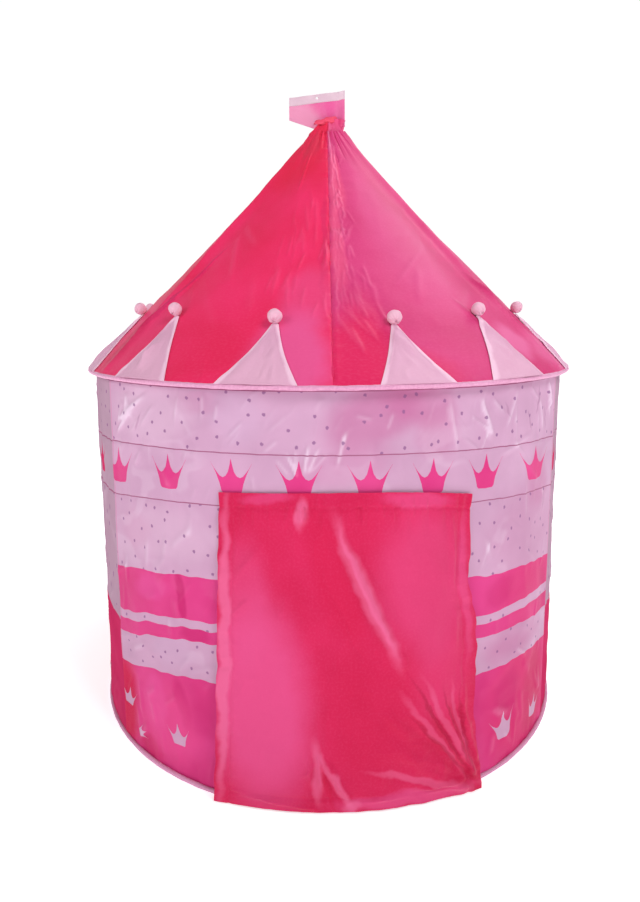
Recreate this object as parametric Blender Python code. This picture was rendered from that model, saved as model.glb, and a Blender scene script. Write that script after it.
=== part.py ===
"""A child's round castle play tent, modelled in metres with +Z up and its door towards -Y.

Two spring hoops carry the cloth: one lies on the floor in the wall's foot sleeve, one spreads the wall
and the roof at the eave. Four straight poles stand inside the wall, and four more run from elbows at the
eave to a hub under the roof's neck. The origin is on the floor, at the middle of the base hoop.
"""

from math import ceil, cos, exp, hypot, pi, radians, sin

import bmesh
import bpy
from mathutils import Matrix, Vector

# Overall sizes
BASE_DIAMETER = 1.050
EAVE_DIAMETER = 1.034
EAVE_HEIGHT = 0.735
NECK_HEIGHT = 1.217
NECK_RADIUS = 0.033

# Cloth, and the clearance between pieces that touch
CLOTH = 0.0012
GAP = 0.0003
WELD = 1e-5

# Round work: hoops, sleeves, wall and roof are faceted at about this step
FACET = radians(7.5)
HEX = radians(60)
SIDES = 12

# Hoops: spring wire in a sleeve of folded tape, closed by a crimped ferrule
WIRE_RADIUS = 0.002
SLEEVE_PLAY = 0.00035
TAPE = 0.00165
EAVE_LEG = 0.012
LEG_SLIT = 0.0004
FERRULE_WALL = 0.0008
FERRULE_LENGTH = 0.040

# Wall
WALL_FOOT = 0.002
POLE_ANGLE = radians(56)
DOOR_ANGLE = radians(23.5)
DOOR_TOP = 0.545

# Roof
ROOF_SAG = 0.003
ROOF_ROWS = 4

# Door flap: one cloth that hangs from its top seam and folds at its middle
FLAP_TOP = 0.566
FLAP_FOOT = 0.014
FLAP_TOP_ANGLE = radians(25)
FLAP_FOOT_ANGLE = radians(27.5)
FLAP_CLEAR = 0.0009
FLAP_SPLIT = 0.0008
FLAP_SPLIT_SHARE = 0.5
FLAP_CORNER = 0.012
FLAP_COLUMNS = 17
FLAP_ROWS = 9
FOLD_HEIGHT = 0.009
FOLD_WIDTH = 0.026
FOLD_FADE_SHARE = 0.16
# Each fold: from and to a place on the flap, across from -1 to 1 and down from 0 to 1, and its height
FOLD_SHARES = (
    ((-0.05, 0.10), (0.45, 0.62), 1.0),
    ((0.55, 0.62), (0.95, 0.93), 0.9),
    ((-0.40, 0.72), (-0.10, 0.97), 0.5),
    ((-0.82, 0.06), (-0.74, 0.45), 0.6),
)

# Poles and their fittings
POLE_RADIUS = 0.0055
POLE_BORE = 0.0042
FITTING_WALL = 0.0018
SOCKET_DEPTH = 0.030
POLE_STOP = 0.0090
KNUCKLE_STEP = 0.0008
CAP_HEIGHT = 0.022
CAP_FLOOR = 0.0025
POCKET_HEIGHT = 0.040
POCKET_CLEAR = 0.0014
TIE_HEIGHT = 0.030
TIE_SHARE = 0.52
HUB_RADIUS = 0.026
HUB_HEIGHT = 0.021

# Turret flags round the eave, each with a stuffed ball on its tip
FLAG_COUNT = 13
FLAG_PHASE = radians(11.7)
FLAG_WIDTH = 0.140
FLAG_HEIGHT = 0.150
FLAG_TIP = 0.008
FLAG_CLOTH = 0.0015
FLAG_COLUMNS = 7
FLAG_ROWS = 3
BALL_RADIUS = 0.012
BALL_INSET = 0.002

# Gather at the neck
GATHER_HEIGHT = 0.0115
GATHER_TOP_RADIUS = 0.020
GATHER_BULGE_SHARE = 0.5

# Hanging tab: cloth that stands on the gather, with a stiff strip sewn to its top edge
TAB_CLOTH = 0.0015
TAB_HEM = 0.001
TAB_LEFT = 0.080
TAB_RIGHT = 0.037
TAB_FOOT_LEFT = 0.028
TAB_CORNER = 0.015
TAB_LOW = 0.042
TAB_RISE = 0.014
STRIP_WIDTH = 0.016
STRIP_HOLE = 0.0025
STRIP_HOLE_SHARE = 0.55


def clear_scene():
    """Removes whatever the file holds."""
    for item in list(bpy.data.objects):
        bpy.data.objects.remove(item, do_unlink=True)


def finish(name, red, green, blue, roughness, metallic=0.0):
    """A Principled material with one colour."""
    made = bpy.data.materials.new(name)
    made.use_nodes = True
    shader = made.node_tree.nodes["Principled BSDF"]
    shader.inputs["Base Color"].default_value = (red, green, blue, 1.0)
    shader.inputs["Roughness"].default_value = roughness
    shader.inputs["Metallic"].default_value = metallic
    return made


def around(radius, angle, height):
    """A point at an angle round the tent, measured from the door towards +X."""
    return Vector((radius * sin(angle), -radius * cos(angle), height))


def tangent_at(angle):
    """The level direction along the wall at an angle."""
    return Vector((cos(angle), sin(angle), 0))


def link(name, mesh, material):
    """Links a mesh as a named object, shaded smooth except at its corners."""
    if not mesh.materials:
        mesh.materials.append(material)
    mesh.shade_smooth()
    mesh.set_sharp_from_angle(angle=radians(35))
    item = bpy.data.objects.new(name, mesh)
    bpy.context.scene.collection.objects.link(item)
    return item


def add_solid(name, bm, material):
    """Links a closed bmesh as a named object, faces outwards."""
    bmesh.ops.recalc_face_normals(bm, faces=bm.faces)
    mesh = bpy.data.meshes.new(name)
    bm.to_mesh(mesh)
    bm.free()
    return link(name, mesh, material)


def sheet_mesh(name, columns, rows, place):
    """A grid whose points follow place(across, up), both from -1 to 1. Its faces point away from the tent."""
    bm = bmesh.new()
    bmesh.ops.create_grid(bm, x_segments=columns - 1, y_segments=rows - 1, size=1)
    for vert in bm.verts:
        vert.co = place(vert.co.x, vert.co.y)
    mesh = bpy.data.meshes.new(name)
    bm.to_mesh(mesh)
    bm.free()
    return mesh


def thicken(sheet, thickness):
    """Gives a sheet its thickness, on its outer side."""
    step = sheet.modifiers.new("cloth", "SOLIDIFY")
    step.thickness = thickness
    step.offset = 1.0


def spin_section(bm, section, start, sweep, steps, seam=0):
    """Carries a closed section of (radius, height) round Z. A part turn is closed with two end faces, each
    drawn back by the seam."""
    loop = [bm.verts.new(around(radius, start, height)) for radius, height in section]
    edges = [bm.edges.new((loop[i], loop[i - 1])) for i in range(len(loop))]
    full = abs(sweep - 2 * pi) < WELD
    spin = bmesh.ops.spin(
        bm, geom=loop + edges, cent=(0, 0, 0), axis=(0, 0, 1), angle=sweep, steps=steps, use_duplicate=False
    )
    if full:
        bmesh.ops.remove_doubles(bm, verts=bm.verts, dist=WELD)
        return
    last = [e for e in spin["geom_last"] if isinstance(e, bmesh.types.BMEdge)]
    bmesh.ops.contextual_create(bm, geom=edges)
    bmesh.ops.contextual_create(bm, geom=last)
    end = [v for v in spin["geom_last"] if isinstance(v, bmesh.types.BMVert)]
    bmesh.ops.translate(bm, vec=tangent_at(start) * seam, verts=loop)
    bmesh.ops.translate(bm, vec=tangent_at(start + sweep) * -seam, verts=end)


def spun(name, section, start, sweep, material, seam=0):
    """An object whose section is carried round the tent in steps of about one facet."""
    bm = bmesh.new()
    spin_section(bm, section, start, sweep, max(1, ceil(sweep / FACET - WELD)), seam)
    return add_solid(name, bm, material)


def turned(outline, place, sides=SIDES):
    """Turns an outline that starts and ends on the axis, and sets it at a place."""
    bm = bmesh.new()
    line = [bm.verts.new((radius, 0, height)) for radius, height in outline]
    edges = [bm.edges.new((line[i], line[i + 1])) for i in range(len(line) - 1)]
    bmesh.ops.spin(
        bm, geom=line + edges, cent=(0, 0, 0), axis=(0, 0, 1), angle=2 * pi, steps=sides, use_duplicate=False
    )
    bmesh.ops.remove_doubles(bm, verts=bm.verts, dist=WELD)
    bmesh.ops.transform(bm, matrix=place, verts=bm.verts)
    return bm


def tube(outer, bore, length, place):
    """A straight tube from its place's origin along its Z."""
    bm = bmesh.new()
    ring = [(bore, 0), (outer, 0), (outer, length), (bore, length)]
    spin_section(bm, ring, 0, 2 * pi, SIDES)
    bmesh.ops.transform(bm, matrix=place, verts=bm.verts)
    return bm


def extruded(outline, travel):
    """A flat outline of points, pushed along a vector."""
    bm = bmesh.new()
    face = bm.faces.new([bm.verts.new(point) for point in outline])
    pushed = bmesh.ops.extrude_face_region(bm, geom=[face], use_keep_orig=True)
    moved = [v for v in pushed["geom"] if isinstance(v, bmesh.types.BMVert)]
    bmesh.ops.translate(bm, vec=travel, verts=moved)
    return bm


def along(start, direction, side):
    """A place whose Z runs along a direction and whose X leans to a side."""
    z = direction.normalized()
    y = z.cross(side).normalized()
    x = y.cross(z)
    turn = Matrix((x, y, z)).transposed().to_4x4()
    return Matrix.Translation(start) @ turn


# Sizes that follow from the ones above
POLE_ANGLES = {
    "front_left": -POLE_ANGLE,
    "front_right": POLE_ANGLE,
    "back_left": POLE_ANGLE - pi,
    "back_right": pi - POLE_ANGLE,
}
FACET_SHARE = cos(FACET / 2)
SIDE_SHARE = cos(pi / SIDES)
BORE_RADIUS = WIRE_RADIUS + SLEEVE_PLAY
SLEEVE_RADIUS = BORE_RADIUS + TAPE
SLEEVE_RISE = SLEEVE_RADIUS * sin(HEX)
BASE_HOOP_RADIUS = BASE_DIAMETER / 2 - SLEEVE_RADIUS
EAVE_HOOP_RADIUS = EAVE_DIAMETER / 2 - SLEEVE_RADIUS
WALL_TOP_RADIUS = (EAVE_HOOP_RADIUS - EAVE_LEG) * FACET_SHARE - GAP
WALL_FOOT_RADIUS = (BASE_HOOP_RADIUS - SLEEVE_RADIUS * cos(HEX)) * FACET_SHARE - GAP
ROOF_FOOT_RADIUS = EAVE_HOOP_RADIUS
ROOF_FOOT = EAVE_HEIGHT + SLEEVE_RISE + GAP
ROOF_RUN = ROOF_FOOT_RADIUS - NECK_RADIUS
ROOF_RISE = NECK_HEIGHT - ROOF_FOOT
ROOF_SLANT = hypot(ROOF_RUN, ROOF_RISE)
SLOPE_IN = ROOF_RUN / ROOF_SLANT
SLOPE_UP = ROOF_RISE / ROOF_SLANT
SOCKET_BORE = (POLE_RADIUS + GAP) / SIDE_SHARE
FITTING_RADIUS = SOCKET_BORE + FITTING_WALL
KNUCKLE_RADIUS = FITTING_RADIUS + KNUCKLE_STEP
POCKET_BORE = (FITTING_RADIUS + GAP) / SIDE_SHARE
POCKET_RADIUS = POCKET_BORE + CLOTH
# From the roof's outside to a pole's middle, and to a flag's inner side, which starts on the eave sleeve
POLE_COVER = CLOTH + ROOF_SAG + GAP + KNUCKLE_RADIUS
FLAG_LIFT = ROOF_FOOT_RADIUS * (1 - FACET_SHARE) + GAP
FLAG_START = -FLAG_LIFT * SLOPE_IN / SLOPE_UP


def wall_radius(height):
    """The wall's outer radius, which widens from the eave to the floor."""
    share = (EAVE_HEIGHT - height) / EAVE_HEIGHT
    return WALL_TOP_RADIUS + (WALL_FOOT_RADIUS - WALL_TOP_RADIUS) * share


def under_roof(radius):
    """The height of a roof pole's middle at a radius. It runs level with the roof's slope."""
    inward = ROOF_FOOT_RADIUS * FACET_SHARE - radius
    return ROOF_FOOT + (inward * SLOPE_UP - POLE_COVER) / SLOPE_IN


def elbow_point():
    """(radius, height) of an elbow's middle: just inside the wall, and just under the roof's cloth."""
    radius = (WALL_TOP_RADIUS - CLOTH) * FACET_SHARE - GAP - KNUCKLE_RADIUS
    return radius, under_roof(radius)


def foot_point():
    """(radius, height) of the underside of a pole's pocket, against the wall."""
    nearest = min(wall_radius(0), wall_radius(POCKET_HEIGHT)) - CLOTH
    radius = nearest * FACET_SHARE - GAP - POCKET_RADIUS
    return radius, POCKET_CLEAR


def arc_points(radius, height, size, first, last):
    """Corners of a six-sided section about a hoop, from one corner number to another."""
    step = 1 if last > first else -1
    return [
        (radius + size * cos(i * HEX), height + size * sin(i * HEX)) for i in range(first, last + step, step)
    ]


def make_hoop(name, radius, height, material):
    """A closed ring of spring wire."""
    spun(name, arc_points(radius, height, WIRE_RADIUS, 0, 5), FACET / 2, 2 * pi, material)


def make_base_sleeve(height, material):
    """Tape folded round the base hoop, open towards the tent's middle and for one facet behind."""
    outer = arc_points(BASE_HOOP_RADIUS, height, SLEEVE_RADIUS, -2, 2)
    inner = arc_points(BASE_HOOP_RADIUS, height, BORE_RADIUS, 2, -2)
    spun("base_sleeve", outer + inner, pi + FACET / 2, 2 * pi - FACET, material)


def make_eave_sleeve(material):
    """Tape folded round the eave hoop, with two legs that run in to the wall."""
    outer = arc_points(EAVE_HOOP_RADIUS, EAVE_HEIGHT, SLEEVE_RADIUS, -2, 2)
    inner = arc_points(EAVE_HOOP_RADIUS, EAVE_HEIGHT, BORE_RADIUS, 2, -2)
    tip = EAVE_HOOP_RADIUS - EAVE_LEG
    near = LEG_SLIT / 2
    low = [(tip, EAVE_HEIGHT - near), (tip, EAVE_HEIGHT - near - TAPE)]
    high = [(tip, EAVE_HEIGHT + near + TAPE), (tip, EAVE_HEIGHT + near)]
    spun("eave_sleeve", low + outer + high + inner, pi + FACET / 2, 2 * pi - FACET, material)


def make_ferrule(name, radius, height, material):
    """A split crimp tube that closes a hoop, at the back."""
    middle = radius * FACET_SHARE
    ring = arc_points(middle, height, BORE_RADIUS + FERRULE_WALL, -2, 2)
    ring += arc_points(middle, height, BORE_RADIUS, 2, -2)
    outline = [(-FERRULE_LENGTH / 2, y, z) for y, z in ring]
    add_solid(name, extruded(outline, (FERRULE_LENGTH, 0, 0)), material)


def make_wall(name, start, end, low, high, material):
    """One wall panel between two angles and two heights, with a gap at each seam."""
    section = [
        (wall_radius(low), low),
        (wall_radius(high), high),
        (wall_radius(high) - CLOTH, high),
        (wall_radius(low) - CLOTH, low),
    ]
    spun(name, section, start, end - start, material, GAP / 2)


def make_walls(material):
    """Six panels: two beside the door, one over it, one at each side and one behind."""
    rear = pi - POLE_ANGLE
    for side, sign in (("left", -1), ("right", 1)):
        near, far = sorted((sign * DOOR_ANGLE, sign * POLE_ANGLE))
        make_wall(f"wall_front_{side}", near, far, WALL_FOOT, EAVE_HEIGHT, material)
        near, far = sorted((sign * POLE_ANGLE, sign * rear))
        make_wall(f"wall_{side}", near, far, WALL_FOOT, EAVE_HEIGHT, material)
    make_wall("wall_back", rear, 2 * pi - rear, WALL_FOOT, EAVE_HEIGHT, material)
    make_wall("wall_over_door", -DOOR_ANGLE, DOOR_ANGLE, DOOR_TOP, EAVE_HEIGHT, material)


def roof_point(share):
    """(radius, height) of the roof's outside at a share of its rise, a little hollow at its middle."""
    radius = ROOF_FOOT_RADIUS - ROOF_RUN * share - ROOF_SAG * sin(pi * share)
    return radius, ROOF_FOOT + ROOF_RISE * share


def make_roof(material):
    """Four gores, with seams at the front, the back and both sides."""
    outer = [roof_point(row / ROOF_ROWS) for row in range(ROOF_ROWS + 1)]
    inner = [(radius - CLOTH / SLOPE_UP, height) for radius, height in reversed(outer)]
    for quarter, name in enumerate(("back_left", "front_left", "front_right", "back_right")):
        start = -pi + quarter * pi / 2
        spun(f"roof_gore_{name}", outer + inner, start, pi / 2, material, GAP / 2)


def fold_height(across, down):
    """How far the flap's folds stand out at a place: each is a rounded ridge along its own line."""
    wide = wall_radius(FLAP_FOOT) * FLAP_FOOT_ANGLE
    tall = FLAP_TOP - FLAP_FOOT
    point = Vector((across * wide, down * tall))
    total = 0.0
    for start, end, share in FOLD_SHARES:
        a = Vector((start[0] * wide, start[1] * tall))
        run = Vector((end[0] * wide, end[1] * tall)) - a
        place = min(1.0, max(0.0, (point - a).dot(run) / run.length_squared))
        away = (point - a - run * place).length
        total += share * FOLD_HEIGHT * exp(-((away / FOLD_WIDTH) ** 2))
    return total * min(1.0, down / FOLD_FADE_SHARE)


def flap_point(across, down):
    """A place on the flap's inner face. It follows the wall, and hangs clear of it at its lower corners."""
    height = FLAP_TOP + (FLAP_FOOT - FLAP_TOP) * down
    angle = across * (FLAP_TOP_ANGLE + (FLAP_FOOT_ANGLE - FLAP_TOP_ANGLE) * down)
    stand = FLAP_CLEAR + FLAP_CORNER * across**2 * down + fold_height(across, down)
    return around(wall_radius(height) + stand, angle, height)


def flap_front(down):
    """How far forward the flap's outer face stands at a share of its height, as a distance from the axis."""
    places = [2 * column / (FLAP_COLUMNS - 1) - 1 for column in range(FLAP_COLUMNS)]
    return max(-flap_point(across, down).y for across in places) + CLOTH


def make_flap(name, first, last, hinge, material):
    """One half of the door flap, between two shares of its height, with its origin on its hinge line."""

    def place(across, up):
        return flap_point(across, first + (last - first) * (1 - up) / 2) - hinge

    flap = link(name, sheet_mesh(name, FLAP_COLUMNS, FLAP_ROWS, place), material)
    flap.location = hinge
    thicken(flap, CLOTH)


def make_door(material):
    """The flap's two halves. The upper hinges at the top seam and the lower at the split between them."""
    half_split = FLAP_SPLIT / 2 / (FLAP_TOP - FLAP_FOOT)
    split_height = FLAP_TOP + (FLAP_FOOT - FLAP_TOP) * FLAP_SPLIT_SHARE
    seam = Vector((0, -flap_front(0), FLAP_TOP))
    fold = Vector((0, -flap_front(FLAP_SPLIT_SHARE) - GAP, split_height))
    make_flap("door_flap_upper", 0, FLAP_SPLIT_SHARE - half_split, seam, material)
    make_flap("door_flap_lower", FLAP_SPLIT_SHARE + half_split, 1, fold, material)


def cutter(name, outline, place, target, operation):
    """A hidden turned body that is added to or cut from a target."""
    tool = add_solid(name, turned(outline, place), target.data.materials[0])
    tool.hide_render = True
    tool.display_type = "WIRE"
    step = target.modifiers.new(name, "BOOLEAN")
    step.solver = "MANIFOLD"
    step.operation = operation
    step.object = tool


def weld(target):
    """Joins the points that a target's cuts left on top of each other."""
    step = target.modifiers.new("weld", "WELD")
    step.merge_threshold = WELD


def cylinder_outline(radius, first, last):
    """A plain cylinder between two heights."""
    return [(0, first), (radius, first), (radius, last), (0, last)]


def ball_outline(radius, rings=6):
    """Half a round profile, from the south pole to the north pole."""
    angles = [pi * ring / rings - pi / 2 for ring in range(1, rings)]
    return [(0, -radius)] + [(radius * cos(angle), radius * sin(angle)) for angle in angles] + [(0, radius)]


def make_fitting(name, middle, ends, side, start, core, material):
    """A moulded fitting: a core, and a socket towards each pole that starts at a distance from its middle.
    Each socket is turned a little about its pole, so that no two share an edge where they meet."""
    body = add_solid(name, turned(core, Matrix.Translation(middle)), material)
    places = []
    for number, end in enumerate(ends):
        turn = Matrix.Rotation(number * pi / SIDES / 2, 4, "Z")
        places.append(along(middle, end - middle, side) @ turn)
    stop = start + POLE_STOP
    mouth = stop + SOCKET_DEPTH
    for number, place in enumerate(places):
        arm = cylinder_outline(FITTING_RADIUS, start - KNUCKLE_STEP, mouth)
        cutter(f"{name}_arm_{number}", arm, place, body, "UNION")
    for number, place in enumerate(places):
        bore = cylinder_outline(SOCKET_BORE, stop - GAP, mouth + POLE_STOP)
        cutter(f"{name}_bore_{number}", bore, place, body, "DIFFERENCE")
    weld(body)


def make_pole(name, start, end, from_start, from_end, side, material):
    """A tube between two points, stopped short of each."""
    place = along(start, end - start, side) @ Matrix.Translation((0, 0, from_start))
    length = (end - start).length - from_start - from_end
    add_solid(name, tube(POLE_RADIUS, POLE_BORE, length, place), material)


def cup_outline(outer, bore, foot, floor, height):
    """A round cup: its outer radius, its bore, its underside, its floor's thickness and its height."""
    top = foot + height
    inside = foot + floor
    return [(0, foot), (outer, foot), (outer, top), (bore, top), (bore, inside), (0, inside)]


def make_tie(name, foot, elbow, angle, material):
    """A strap bent round a pole, with both ends sewn to the wall."""
    middle = foot.lerp(elbow, TIE_SHARE)
    outward = around(1, angle, 0)
    tangent = tangent_at(angle)
    travel = (elbow - foot).normalized() * TIE_HEIGHT
    spans = [(wall_radius(p.z) - CLOTH) * FACET_SHARE - hypot(p.x, p.y) for p in (middle, middle + travel)]
    reach = min(spans) - GAP
    near = (POLE_RADIUS + GAP) / SIDE_SHARE
    far = near + CLOTH
    bend = [pi / 2 + pi * step / 6 for step in range(7)]
    outline = [(reach, far)] + [(far * cos(a), far * sin(a)) for a in bend] + [(reach, -far)]
    outline += [(reach, -near)] + [(near * cos(a), near * sin(a)) for a in reversed(bend)] + [(reach, near)]
    points = [middle + outward * x + tangent * y for x, y in outline]
    add_solid(name, extruded(points, travel), material)


def make_frame(plastic, pole_finish, rubber, cloth):
    """Poles, elbows, hub, foot caps, pockets and ties."""
    elbow_radius, elbow_height = elbow_point()
    foot_radius, foot_height = foot_point()
    meeting = Vector((0, 0, under_roof(0)))
    hub_top = NECK_HEIGHT - GAP
    hub_start = (meeting.z + FITTING_RADIUS * SLOPE_IN - hub_top) / SLOPE_UP
    cap_foot = CLOTH + GAP
    pole_foot = cap_foot + CAP_FLOOR + GAP
    elbows = []
    for corner, angle in POLE_ANGLES.items():
        elbow = around(elbow_radius, angle, elbow_height)
        foot = around(foot_radius, angle, foot_height)
        side = tangent_at(angle)
        elbows.append(elbow)
        make_pole(f"wall_pole_{corner}", foot, elbow, pole_foot, POLE_STOP, side, pole_finish)
        make_pole(f"roof_pole_{corner}", elbow, meeting, POLE_STOP, hub_start + POLE_STOP, side, pole_finish)
        core = ball_outline(KNUCKLE_RADIUS)
        make_fitting(f"eave_elbow_{corner}", elbow, (foot, meeting), side, 0, core, plastic)
        place = along(foot, elbow - foot, side)
        cap = cup_outline(FITTING_RADIUS, SOCKET_BORE, cap_foot, CAP_FLOOR, CAP_HEIGHT)
        add_solid(f"pole_cap_{corner}", turned(cap, place), rubber)
        pocket = cup_outline(POCKET_RADIUS, POCKET_BORE, 0, CLOTH, POCKET_HEIGHT)
        add_solid(f"pole_pocket_{corner}", turned(pocket, place), cloth)
        make_tie(f"pole_tie_{corner}", foot, elbow, angle, cloth)
    core = cylinder_outline(HUB_RADIUS, hub_top - HUB_HEIGHT - meeting.z, hub_top - meeting.z)
    make_fitting("apex_hub", meeting, elbows, Vector((1, 0, 0)), hub_start, core, plastic)


def flag_point(across, up):
    """A place on the inner side of the flag at the door's middle. The flag follows the roof's slope."""
    climb = FLAG_START + (FLAG_HEIGHT - FLAG_START) * (up + 1) / 2
    half_width = (FLAG_WIDTH + (FLAG_TIP - FLAG_WIDTH) * (up + 1) / 2) / 2
    radius = ROOF_FOOT_RADIUS - climb * SLOPE_IN + FLAG_LIFT * SLOPE_UP
    height = ROOF_FOOT + climb * SLOPE_UP + FLAG_LIFT * SLOPE_IN
    return around(radius, across * half_width / radius, height)


def make_flags(cloth):
    """Triangular flags sewn to the eave, each stuffed to a ball at its tip. One mesh serves them all."""
    off = FLAG_LIFT + BALL_RADIUS
    climb = FLAG_HEIGHT - BALL_INSET
    ball_radius = ROOF_FOOT_RADIUS - climb * SLOPE_IN + off * SLOPE_UP
    seat = Matrix.Translation(around(ball_radius, 0, ROOF_FOOT + climb * SLOPE_UP + off * SLOPE_IN))
    pattern = link("flag_pattern", sheet_mesh("turret_flag", FLAG_COLUMNS, FLAG_ROWS, flag_point), cloth)
    pattern.hide_render = True
    pattern.display_type = "WIRE"
    thicken(pattern, FLAG_CLOTH)
    cutter("flag_ball", ball_outline(BALL_RADIUS), seat, pattern, "UNION")
    weld(pattern)
    sewn = pattern.evaluated_get(bpy.context.evaluated_depsgraph_get())
    mesh = bpy.data.meshes.new_from_object(sewn)
    for number in range(FLAG_COUNT):
        flag = link(f"turret_flag_{number + 1:02d}", mesh, cloth)
        flag.rotation_euler.z = FLAG_PHASE + number * 2 * pi / FLAG_COUNT


def make_gather(material):
    """The roof's cloth drawn together above the neck."""
    low = NECK_HEIGHT + GAP
    bulge = low + GATHER_HEIGHT * GATHER_BULGE_SHARE
    top = low + GATHER_HEIGHT
    outline = [(0, low), (NECK_RADIUS, low), (NECK_RADIUS, bulge), (GATHER_TOP_RADIUS, top), (0, top)]
    add_solid("roof_gather", turned(outline, Matrix.Identity(4), 2 * SIDES), material)


def make_tab(cloth, plastic_strip):
    """The tab is extruded across its thickness, and its foot is a rolled hem about the hinge line."""
    half = TAB_CLOTH / 2
    hinge = Vector((0, 0, NECK_HEIGHT + GATHER_HEIGHT + 2 * GAP + TAB_HEM))
    outline = [
        (-TAB_FOOT_LEFT, 0),
        (TAB_RIGHT, 0),
        (TAB_RIGHT, TAB_LOW + TAB_RISE),
        (-TAB_LEFT, TAB_LOW),
        (-TAB_LEFT, TAB_CORNER),
    ]
    tab = add_solid("hanging_tab", extruded([(x, -half, z) for x, z in outline], (0, TAB_CLOTH, 0)), cloth)
    tab.location = hinge
    hem = along(hinge, Vector((1, 0, 0)), Vector((0, 1, 0)))
    cutter("tab_hem", cylinder_outline(TAB_HEM, -TAB_FOOT_LEFT, TAB_RIGHT), hem, tab, "UNION")
    low = TAB_LOW + GAP
    outline = [
        (-TAB_LEFT, low),
        (TAB_RIGHT, low + TAB_RISE),
        (TAB_RIGHT, low + TAB_RISE + STRIP_WIDTH),
        (-TAB_LEFT, low + STRIP_WIDTH),
    ]
    strip_mesh = extruded([(x, -half, z) for x, z in outline], (0, TAB_CLOTH, 0))
    strip = add_solid("tab_strip", strip_mesh, plastic_strip)
    strip.location = hinge
    middle = (TAB_RIGHT - TAB_LEFT) / 2
    hole = hinge + Vector((middle, 0, low + TAB_RISE / 2 + STRIP_WIDTH * STRIP_HOLE_SHARE))
    place = along(hole, Vector((0, 1, 0)), Vector((1, 0, 0)))
    cutter("strip_hole", cylinder_outline(STRIP_HOLE, -TAB_CLOTH, TAB_CLOTH), place, strip, "DIFFERENCE")


def main():
    clear_scene()
    hot_pink = finish("satin polyester, hot pink", 0.76, 0.05, 0.16, 0.45)
    pale_pink = finish("printed polyester, pale pink", 0.74, 0.43, 0.62, 0.55)
    tape = finish("binding tape, pink", 0.80, 0.40, 0.55, 0.6)
    clear_strip = finish("milky plastic strip", 0.86, 0.82, 0.84, 0.3)
    steel = finish("spring steel", 0.42, 0.42, 0.44, 0.35, 1.0)
    pole_finish = finish("white plastic tube", 0.82, 0.82, 0.82, 0.4)
    plastic = finish("white moulded plastic", 0.78, 0.78, 0.80, 0.35)
    rubber = finish("grey rubber", 0.12, 0.12, 0.12, 0.7)
    base_height = SLEEVE_RISE
    make_hoop("base_hoop", BASE_HOOP_RADIUS, base_height, steel)
    make_hoop("eave_hoop", EAVE_HOOP_RADIUS, EAVE_HEIGHT, steel)
    make_base_sleeve(base_height, tape)
    make_eave_sleeve(tape)
    make_ferrule("base_hoop_ferrule", BASE_HOOP_RADIUS, base_height, steel)
    make_ferrule("eave_hoop_ferrule", EAVE_HOOP_RADIUS, EAVE_HEIGHT, steel)
    make_walls(pale_pink)
    make_roof(hot_pink)
    make_door(hot_pink)
    make_frame(plastic, pole_finish, rubber, pale_pink)
    make_flags(pale_pink)
    make_gather(hot_pink)
    make_tab(hot_pink, clear_strip)


main()
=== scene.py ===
# %% [markdown]
# # A child's round castle play tent
# The real tent is thin satin and printed polyester sewn to two spring hoops, with plastic poles inside. Its
# solids come packed from the CAD source, as a frame that already moves on its joints. Cloth can't be shown as
# flat plates, so this notebook drapes new sheets over that frame, gives each its own finish, and lights it
# softly.

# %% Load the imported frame
from math import cos, pi, radians, sin

import bmesh
import bpy
import numpy as np
from mathutils import Matrix, Vector


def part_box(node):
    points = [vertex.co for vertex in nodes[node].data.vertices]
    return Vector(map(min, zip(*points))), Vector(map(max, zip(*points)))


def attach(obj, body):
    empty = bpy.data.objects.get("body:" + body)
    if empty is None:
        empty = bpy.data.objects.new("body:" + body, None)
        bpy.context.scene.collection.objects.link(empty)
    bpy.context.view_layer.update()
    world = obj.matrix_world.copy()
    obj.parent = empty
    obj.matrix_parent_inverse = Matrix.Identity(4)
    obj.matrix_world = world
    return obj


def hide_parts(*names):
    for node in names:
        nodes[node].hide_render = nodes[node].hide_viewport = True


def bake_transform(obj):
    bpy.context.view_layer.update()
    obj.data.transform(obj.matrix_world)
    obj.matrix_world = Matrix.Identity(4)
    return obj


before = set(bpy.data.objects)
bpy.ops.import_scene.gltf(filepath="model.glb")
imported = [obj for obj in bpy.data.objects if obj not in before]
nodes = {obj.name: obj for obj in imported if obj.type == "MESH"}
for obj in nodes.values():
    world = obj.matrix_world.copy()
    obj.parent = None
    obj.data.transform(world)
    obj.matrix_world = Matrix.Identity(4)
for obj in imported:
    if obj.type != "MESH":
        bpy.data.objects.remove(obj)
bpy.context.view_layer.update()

# %% [markdown]
# ## The sizes of the real tent, in metres
# Angles are measured round the tent from the middle of the door towards +X. The wall is a steep cone between
# the two hoops and the roof is a cone over it. Every sheet below is a function of an angle and a height, so
# sheets that are sewn together share their edge exactly.

# %% Sizes
MM = 1000  # millimetres in a metre: the tables of creases and patches are in millimetres
EAVE = 0.735
WALL_TOP = 0.49963
WALL_FOOT = 0.51759
WALL_LOW = 0.002
WALL_MEAN = 0.509
HOOP_EAVE = 0.513
HOOP_BASE = 0.521
HOOP_LENGTH = 3.27
BASE_HEIGHT = 0.00346
WIRE = 0.0019
SLEEVE = 0.004
ROOF_FOOT = 0.73876
NECK_RADIUS = 0.033
NECK_HEIGHT = 1.217
ROOF_SAG = 0.003
ROOF_RUN = HOOP_EAVE - NECK_RADIUS
ROOF_RISE = NECK_HEIGHT - ROOF_FOOT
ROOF_SLANT = (ROOF_RUN**2 + ROOF_RISE**2) ** 0.5
SLOPE_IN = ROOF_RUN / ROOF_SLANT
SLOPE_UP = ROOF_RISE / ROOF_SLANT
POLE = radians(56)
DOOR = radians(23.5)
DOOR_TOP = 0.545
CLOTH = 0.0009
STIFF_CLOTH = 0.0012
CORNERS = {"front_left": -POLE, "front_right": POLE, "back_left": POLE - pi, "back_right": pi - POLE}
print("roof slant", round(ROOF_SLANT, 3))

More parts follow.
